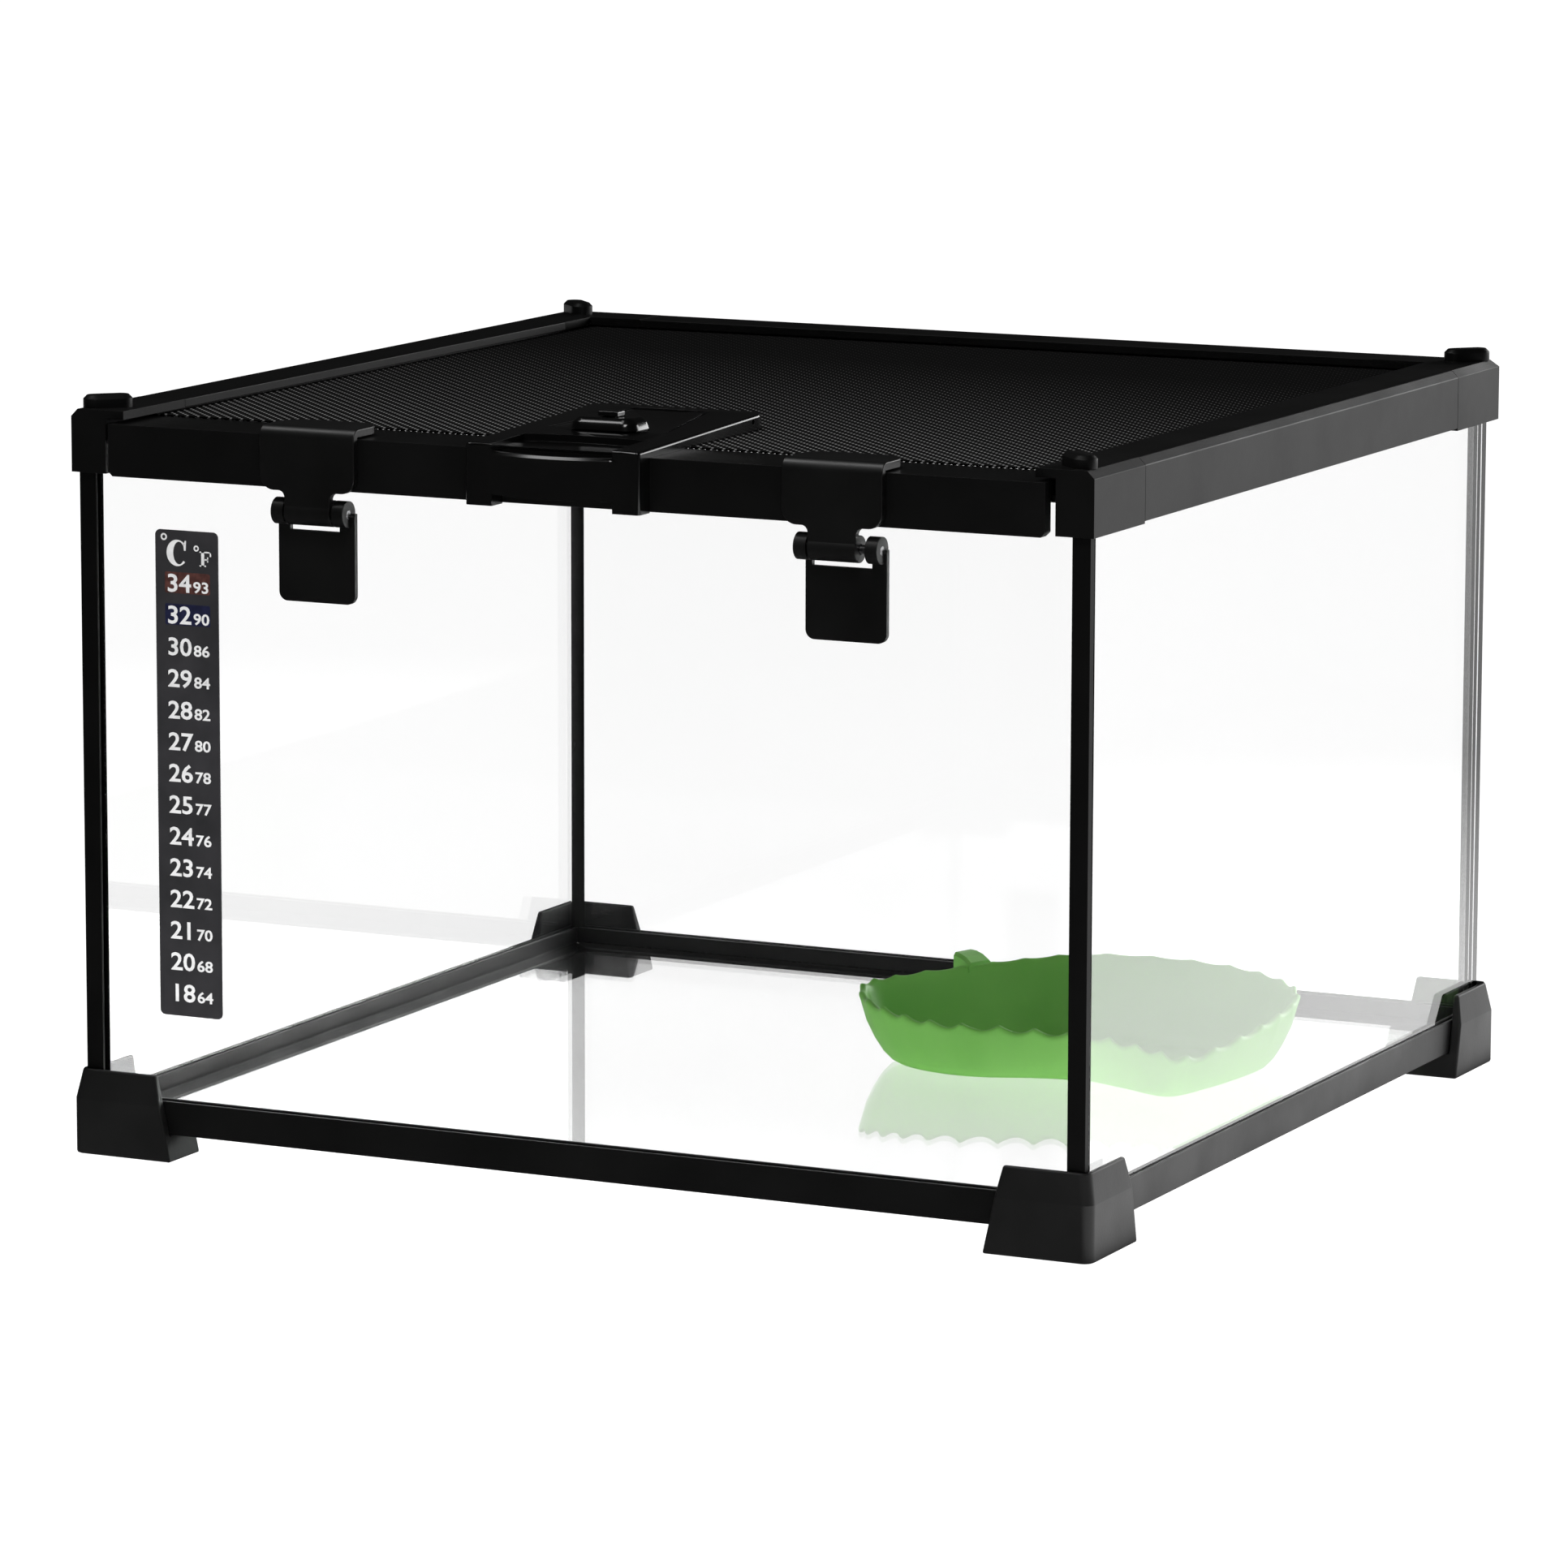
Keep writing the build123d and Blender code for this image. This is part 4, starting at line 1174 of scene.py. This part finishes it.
@dataclass
class LeafDish:
    """Loose leaf-shaped food dish with a scalloped rim and a stem."""

    middle_mm: tuple[float, float, float] = (70.0, 30.0, 12.05)
    outline_mm: tuple[tuple[float, float], ...] = (
        (44.5, -36.0), (51.5, -17.0), (54.5, 3.0), (54.0, 20.0), (47.0, 30.5), (32.0, 37.0),
        (11.0, 38.0), (-12.0, 33.0), (-28.0, 21.5), (-41.0, 9.0), (-54.0, -4.5), (-60.0, -14.0),
        (-54.5, -25.0), (-42.0, -33.0), (-26.0, -36.0), (-7.0, -32.5), (12.0, -30.0), (29.0, -33.0),
    )
    stem_mm: tuple[float, float] = (-37.0, 13.5)
    rim_mm: float = 20.5
    rim_rise: float = 0.13
    rim_fall: float = 0.04
    wall_mm: float = 2.2
    floor_mm: float = 2.0
    around: int = 432
    scallops: int = 34
    scallop_mm: float = 2.1
    deepest_place: float = 0.92
    shallow_share: float = 0.2

    def build(self) -> None:
        """Shape the dish and set it on the floor glass."""
        place_piece("leaf_dish", self.dish_mesh(), (DISH_PLASTIC,), "food_dish", "food_dish")

    def outline(self, place: float) -> Vector:
        """Point of the leaf outline, on a smooth closed curve through the named points.

        Args:
            place: how far round, from 0 to 1.

        Returns:
            The point, from the dish's middle, in millimetres.
        """
        count = len(self.outline_mm)
        span = (place % 1.0) * count
        k = int(span)
        t = span - k
        a, b, c, d = (Vector(self.outline_mm[(k + shift) % count]) for shift in (-1, 0, 1, 2))
        return 0.5 * (
            2 * b + (c - a) * t + (2 * a - 5 * b + 4 * c - d) * t ** 2 + (3 * b - a - 3 * c + d) * t ** 3
        )

    def scallop(self, place: float) -> float:
        """Depth of the rim's notches at one place, from 0 to 1, deepest along the front and the right."""
        strength = 0.5 + 0.5 * math.cos(2 * math.pi * (place - self.deepest_place))
        share = self.shallow_share + (1 - self.shallow_share) * strength
        return share * abs(math.sin(math.pi * self.scallops * place)) ** 0.8

    def ring(self, inset: float, height: float, wave: float, follow: float) -> list[Vector]:
        """One closed ring of the dish's section.

        Args:
            inset: distance in from the outline in millimetres.
            height: height above the dish's base where the rim isn't followed.
            wave: share of the scallops that shows.
            follow: share of the rim's slope that the ring follows.

        Returns:
            The ring's points in metres.
        """
        points = []
        for k in range(self.around):
            place = k / self.around
            spot = self.outline(place)
            wavy = self.scallop(place) * self.scallop_mm * wave
            flat = spot * (1 - (inset + 0.5 * wavy) / spot.length)
            slope = self.rim_rise * spot.y - self.rim_fall * spot.x
            level = height + follow * slope - wavy * follow
            x, y, z = self.middle_mm
            points.append(Vector((x + flat.x, y + flat.y, z + level)) * MM)
        return points

    def dish_mesh(self) -> bpy.types.Mesh:
        """Skin the dish from base to rim and down inside, with its stem.

        Returns:
            The dish's mesh.
        """
        wall = self.wall_mm
        rim = self.rim_mm
        # Each ring has its inset and height in millimetres, then its shares of the scallops and of the slope
        section = (
            (26.0, 0.35, 0, 0), (13.5, 0.0, 0, 0), (11.2, 0.3, 0, 0), (9.4, 1.2, 0, 0), (7.2, 3.4, 0, 0.1),
            (4.8, 7.2, 0.1, 0.3), (2.5, 12.0, 0.3, 0.6), (0.9, rim - 3.0, 0.7, 0.9), (0.3, rim - 1.2, 1, 1),
            (0.35, rim - 0.35, 1, 1), (0.9, rim, 1, 1), (1.6, rim - 0.1, 1, 1), (wall, rim - 0.7, 1, 1),
            (wall + 0.9, rim - 3.0, 0.7, 0.9), (wall + 2.7, 12.4, 0.3, 0.6), (wall + 5.0, 7.8, 0.1, 0.3),
            (wall + 7.6, 4.4, 0, 0.1), (wall + 9.8, 2.7, 0, 0), (wall + 12.2, self.floor_mm, 0, 0),
            (wall + 18.0, self.floor_mm + 0.1, 0, 0), (27.0, self.floor_mm + 0.3, 0, 0),
        )
        shape = bmesh.new()
        rings = [[shape.verts.new(point) for point in self.ring(*level)] for level in section]
        for lower, upper in zip(rings, rings[1:]):
            for k in range(self.around):
                n = (k + 1) % self.around
                shape.faces.new((lower[k], lower[n], upper[n], upper[k]))
        shape.faces.new(list(reversed(rings[0])))
        shape.faces.new(rings[-1])
        bmesh.ops.recalc_face_normals(shape, faces=shape.faces)
        for face in shape.faces:
            face.smooth = len(face.verts) == 4
        self.add_stem(shape)
        return mesh_of(shape, "leaf_dish")

    def add_stem(self, shape: bmesh.types.BMesh) -> None:
        """Add the short leaf stem at the back left of the rim.

        Args:
            shape: the dish's mesh in the making.
        """
        spot = Vector(self.stem_mm)
        out = spot.normalized()
        side = Vector((-out.y, out.x))
        x, y, z = self.middle_mm
        top = self.rim_mm + self.rim_rise * spot.y - self.rim_fall * spot.x
        bars = []
        # Each bar has its reach outwards, half its width, its lift over the rim and its drop below it
        for reach, half, lift, drop in (
            (-1.0, 4.4, 0.4, 4.6), (1.2, 4.2, 1.7, 4.8), (3.6, 4.0, 2.4, 4.2), (5.6, 3.8, 2.5, 3.6)
        ):
            middle = spot + out * reach
            loop = []
            for across, up in (
                (-1, -drop), (1, -drop), (1, lift - 0.9), (0.8, lift), (-0.8, lift), (-1, lift - 0.9)
            ):
                flat = middle + side * (half * across)
                loop.append(shape.verts.new(Vector((x + flat.x, y + flat.y, z + top + up)) * MM))
            bars.append(loop)
        made_faces = [shape.faces.new(bars[0]), shape.faces.new(bars[-1])]
        for first, second in zip(bars, bars[1:]):
            for k in range(len(first)):
                n = (k + 1) % len(first)
                made_faces.append(shape.faces.new((first[k], first[n], second[n], second[k])))
        bmesh.ops.recalc_face_normals(shape, faces=made_faces)


@dataclass(frozen=True)
class Softbox:
    """One rectangular lamp, unseen by the camera."""

    name: str
    place: tuple[float, float, float]
    aim: tuple[float, float, float]
    size: tuple[float, float]
    watts: float
    lights_matt: bool

    def hang(self) -> None:
        """Hang the lamp and turn it to its aim."""
        data = bpy.data.lights.new(self.name, "AREA")
        data.shape = "RECTANGLE"
        data.size, data.size_y = self.size
        data.energy = self.watts
        lamp = bpy.data.objects.new(self.name, data)
        lamp.location = self.place
        lamp.rotation_euler = (Vector(self.aim) - Vector(self.place)).to_track_quat("-Z", "Y").to_euler()
        lamp.visible_camera = False
        lamp.visible_diffuse = self.lights_matt
        bpy.context.scene.collection.objects.link(lamp)


# Greys the right-hand faces and shows in gloss alone
SOFTBOX_RIGHT = Softbox("softbox_right", (0.8, 1.25, 0.45), (0.15, 0.0, 0.1), (1.3, 0.55), 13.0, False)
# Draws the bright lines along the pull, the latch and the clips' folds
SOFTBOX_TOP = Softbox("softbox_top", (-0.56, -0.22, 1.37), (0.0, -0.1, 0.19), (0.45, 0.45), 3.8, True)
# Lights the screen's flecks along the front
SOFTBOX_OVER = Softbox("softbox_over", (0.12, -0.5, 0.75), (0.02, -0.1, 0.19), (0.2, 0.2), 1.6, True)


@dataclass
class Studio:
    """White sweep that lights the object from below, soft lamps and the camera at the photograph's angle."""

    yaw_deg: float = 25.8975
    pitch_deg: float = 9.5288
    roll_deg: float = -0.1443
    place: tuple[float, float, float] = (0.883966, -1.834287, 0.431612)
    lens_mm: float = 172.96
    sensor_mm: float = 36.0
    sweep_half_m: float = 12.0
    sweep_seen: tuple[float, float] = (1.1, 1.09)
    sweep_light: tuple[float, float] = (2.5, 0.3)
    sweep_mirrored: tuple[float, float] = (0.03, 0.85)
    sweep_mirrored_right: tuple[float, float] = (2.1, 0.8)
    world_seen: float = 1.03
    world_light: float = 0.04
    world_mirrored: float = 0.015
    fibre_mm: float = 2.0
    fibre_depth_mm: float = 0.02

    def build(self) -> None:
        """Set the camera, the sweep, the world and the lamps."""
        bpy.context.scene.view_settings.view_transform = "Standard"
        self.camera()
        self.sweep()
        self.world()
        for softbox in (SOFTBOX_RIGHT, SOFTBOX_TOP, SOFTBOX_OVER):
            softbox.hang()

    def camera(self) -> None:
        """Place the camera."""
        yaw, pitch, roll = (math.radians(v) for v in (self.yaw_deg, self.pitch_deg, self.roll_deg))
        ahead = Vector(
            (-math.sin(yaw) * math.cos(pitch), math.cos(yaw) * math.cos(pitch), -math.sin(pitch))
        )
        level = Vector((math.cos(yaw), math.sin(yaw), 0))
        down = ahead.cross(level)
        across = math.cos(roll) * level + math.sin(roll) * down
        up = math.sin(roll) * level - math.cos(roll) * down
        data = bpy.data.cameras.new("view")
        data.lens = self.lens_mm
        data.sensor_width = self.sensor_mm
        data.clip_end = 60.0
        camera = bpy.data.objects.new("view", data)
        bpy.context.scene.collection.objects.link(camera)
        matrix = Matrix((across, up, -ahead)).transposed().to_4x4()
        matrix.translation = Vector(self.place)
        camera.matrix_world = matrix
        bpy.context.scene.camera = camera

    def sweep(self) -> None:
        """Lay the white paper under the object."""
        shape = bmesh.new()
        bmesh.ops.create_grid(shape, x_segments=1, y_segments=1, size=self.sweep_half_m)
        mesh = mesh_of(shape, "sweep")
        mesh.materials.append(self.paper())
        floor = bpy.data.objects.new("sweep", mesh)
        bpy.context.scene.collection.objects.link(floor)

    def paper(self) -> bpy.types.Material:
        """Build the paper: white to the eye but still shadowed, a pool of light, dark in the front's gloss.

        Returns:
            The paper's material.
        """
        material, tree = blank_material("paper_sweep_white")
        # Light sampling would put the bright pool into every gloss
        material.cycles.emission_sampling = "NONE"
        levels = self.paper_levels(tree)
        fibre = noise(tree, self.fibre_mm, Seed.GRAIN, 2.0)
        bump = add_node(
            tree,
            "ShaderNodeBump",
            {"Height": fibre.outputs["Fac"], "Strength": 0.1, "Distance": self.fibre_depth_mm * MM},
        )
        pool = add_node(tree, "ShaderNodeEmission", {"Strength": levels["pool"]})
        white = add_node(tree, "ShaderNodeEmission", {"Strength": levels["glow"]})
        shaded = add_node(
            tree, "ShaderNodeBsdfDiffuse", {"Color": srgb("#8c8c8c"), "Normal": bump.outputs["Normal"]}
        )
        seen = add_node(
            tree, "ShaderNodeAddShader", {0: white.outputs["Emission"], 1: shaded.outputs["BSDF"]}
        )
        mirrored = add_node(tree, "ShaderNodeEmission", {"Strength": levels["mirrored"]})
        path = add_node(tree, "ShaderNodeLightPath")
        eye = add_node(
            tree,
            "ShaderNodeMixShader",
            {0: self.seen_by_eye(tree, path), 1: pool.outputs["Emission"], 2: seen.outputs["Shader"]},
        )
        reflected = add_node(
            tree, "ShaderNodeMath", {0: path.outputs["Glossy Depth"], 1: 0.5}, operation="GREATER_THAN"
        )
        bounced = add_node(
            tree,
            "ShaderNodeMath",
            {0: reflected.outputs["Value"], 1: self.unscattered(tree, path)},
            operation="MULTIPLY",
        )
        mix = add_node(
            tree,
            "ShaderNodeMixShader",
            {0: bounced.outputs["Value"], 1: eye.outputs["Shader"], 2: mirrored.outputs["Emission"]},
        )
        add_node(tree, "ShaderNodeOutputMaterial", {"Surface": mix.outputs["Shader"]})
        return material

    def paper_levels(self, tree: bpy.types.NodeTree) -> dict[str, bpy.types.NodeSocket]:
        """Work out how bright the paper is by place, in smooth steps over metres.

        Args:
            tree: the paper's node tree.

        Returns:
            What the eye sees, the pool that lights the object, and what gloss shows.
        """
        place = add_node(tree, "ShaderNodeTexCoord")
        parts = add_node(tree, "ShaderNodeSeparateXYZ", {"Vector": place.outputs["Object"]})
        length = add_node(tree, "ShaderNodeVectorMath", {0: place.outputs["Object"]}, operation="LENGTH")
        distance = length.outputs["Value"]
        steps = {
            "glow": (distance, (0.2, 0.32), self.sweep_seen),
            "pool": (distance, (0.35, 0.75), self.sweep_light),
            "behind": (parts.outputs["Y"], (0.12, 0.22), self.sweep_mirrored),
            "near": (distance, (0.3, 0.8), self.sweep_mirrored_right),
            "beside": (parts.outputs["X"], (0.146, 0.16), (0.0, 1.0)),
            "aside": (parts.outputs["Y"], (-0.35, -0.2), (0.0, 1.0)),
        }
        levels = {}
        for name, (value, (start, end), (before, after)) in steps.items():
            step = add_node(
                tree,
                "ShaderNodeMapRange",
                {"Value": value, "From Min": start, "From Max": end, "To Min": before, "To Max": after},
                interpolation_type="SMOOTHSTEP",
            )
            levels[name] = step.outputs["Result"]
        right = add_node(
            tree, "ShaderNodeMath", {0: levels["near"], 1: levels["beside"]}, operation="MULTIPLY"
        )
        limited = add_node(
            tree, "ShaderNodeMath", {0: right.outputs["Value"], 1: levels["aside"]}, operation="MULTIPLY"
        )
        mirrored = add_node(
            tree, "ShaderNodeMath", {0: levels["behind"], 1: limited.outputs["Value"]}, operation="MAXIMUM"
        )
        return {"glow": levels["glow"], "pool": levels["pool"], "mirrored": mirrored.outputs["Value"]}

    def unscattered(self, tree: bpy.types.NodeTree, path: bpy.types.Node) -> bpy.types.NodeSocket:
        """Tell rays that no matt surface has scattered yet.

        Args:
            tree: the node tree.
            path: its light path node.

        Returns:
            The output that is 1 for such rays.
        """
        depth = path.outputs["Diffuse Depth"]
        test = add_node(tree, "ShaderNodeMath", {0: depth, 1: 0.5}, operation="LESS_THAN")
        return test.outputs["Value"]

    def seen_by_eye(self, tree: bpy.types.NodeTree, path: bpy.types.Node) -> bpy.types.NodeSocket:
        """Tell rays that come from the eye, straight or through glass, from rays that light a surface.

        Args:
            tree: the node tree.
            path: its light path node.

        Returns:
            The output that is 1 for such rays.
        """
        clear = add_node(
            tree,
            "ShaderNodeMath",
            {0: path.outputs["Is Camera Ray"], 1: path.outputs["Is Transmission Ray"]},
            operation="MAXIMUM",
        )
        direct = add_node(
            tree,
            "ShaderNodeMath",
            {0: clear.outputs["Value"], 1: self.unscattered(tree, path)},
            operation="MULTIPLY",
        )
        return direct.outputs["Value"]

    def world(self) -> None:
        """Surround the set with soft light: white to the eye and through glass, dim in gloss."""
        world = bpy.data.worlds.new("studio")
        bpy.context.scene.world = world
        world.use_nodes = True
        tree = world.node_tree
        tree.nodes.clear()
        light, mirrored, seen = (
            add_node(tree, "ShaderNodeBackground", {"Color": srgb("#ffffff"), "Strength": strength})
            for strength in (self.world_light, self.world_mirrored, self.world_seen)
        )
        path = add_node(tree, "ShaderNodeLightPath")
        lit = add_node(
            tree,
            "ShaderNodeMixShader",
            {0: path.outputs["Is Glossy Ray"], 1: light.outputs["Background"],
             2: mirrored.outputs["Background"]},
        )
        mix = add_node(
            tree,
            "ShaderNodeMixShader",
            {0: self.seen_by_eye(tree, path), 1: lit.outputs["Shader"], 2: seen.outputs["Background"]},
        )
        add_node(tree, "ShaderNodeOutputWorld", {"Surface": mix.outputs["Shader"]})


def main() -> None:
    """Build the studio and every sub-assembly."""
    logging.basicConfig(level=logging.INFO, format="%(message)s")
    Studio().build()
    TankFrame().build()
    GlassBox().build()
    ThermometerStrip().build()
    SlidingLid().build()
    FeedHatch().build()
    for side in ("left", "right"):
        LidClip(side).build()
    LeafDish().build()


if __name__ == "__main__":
    main()
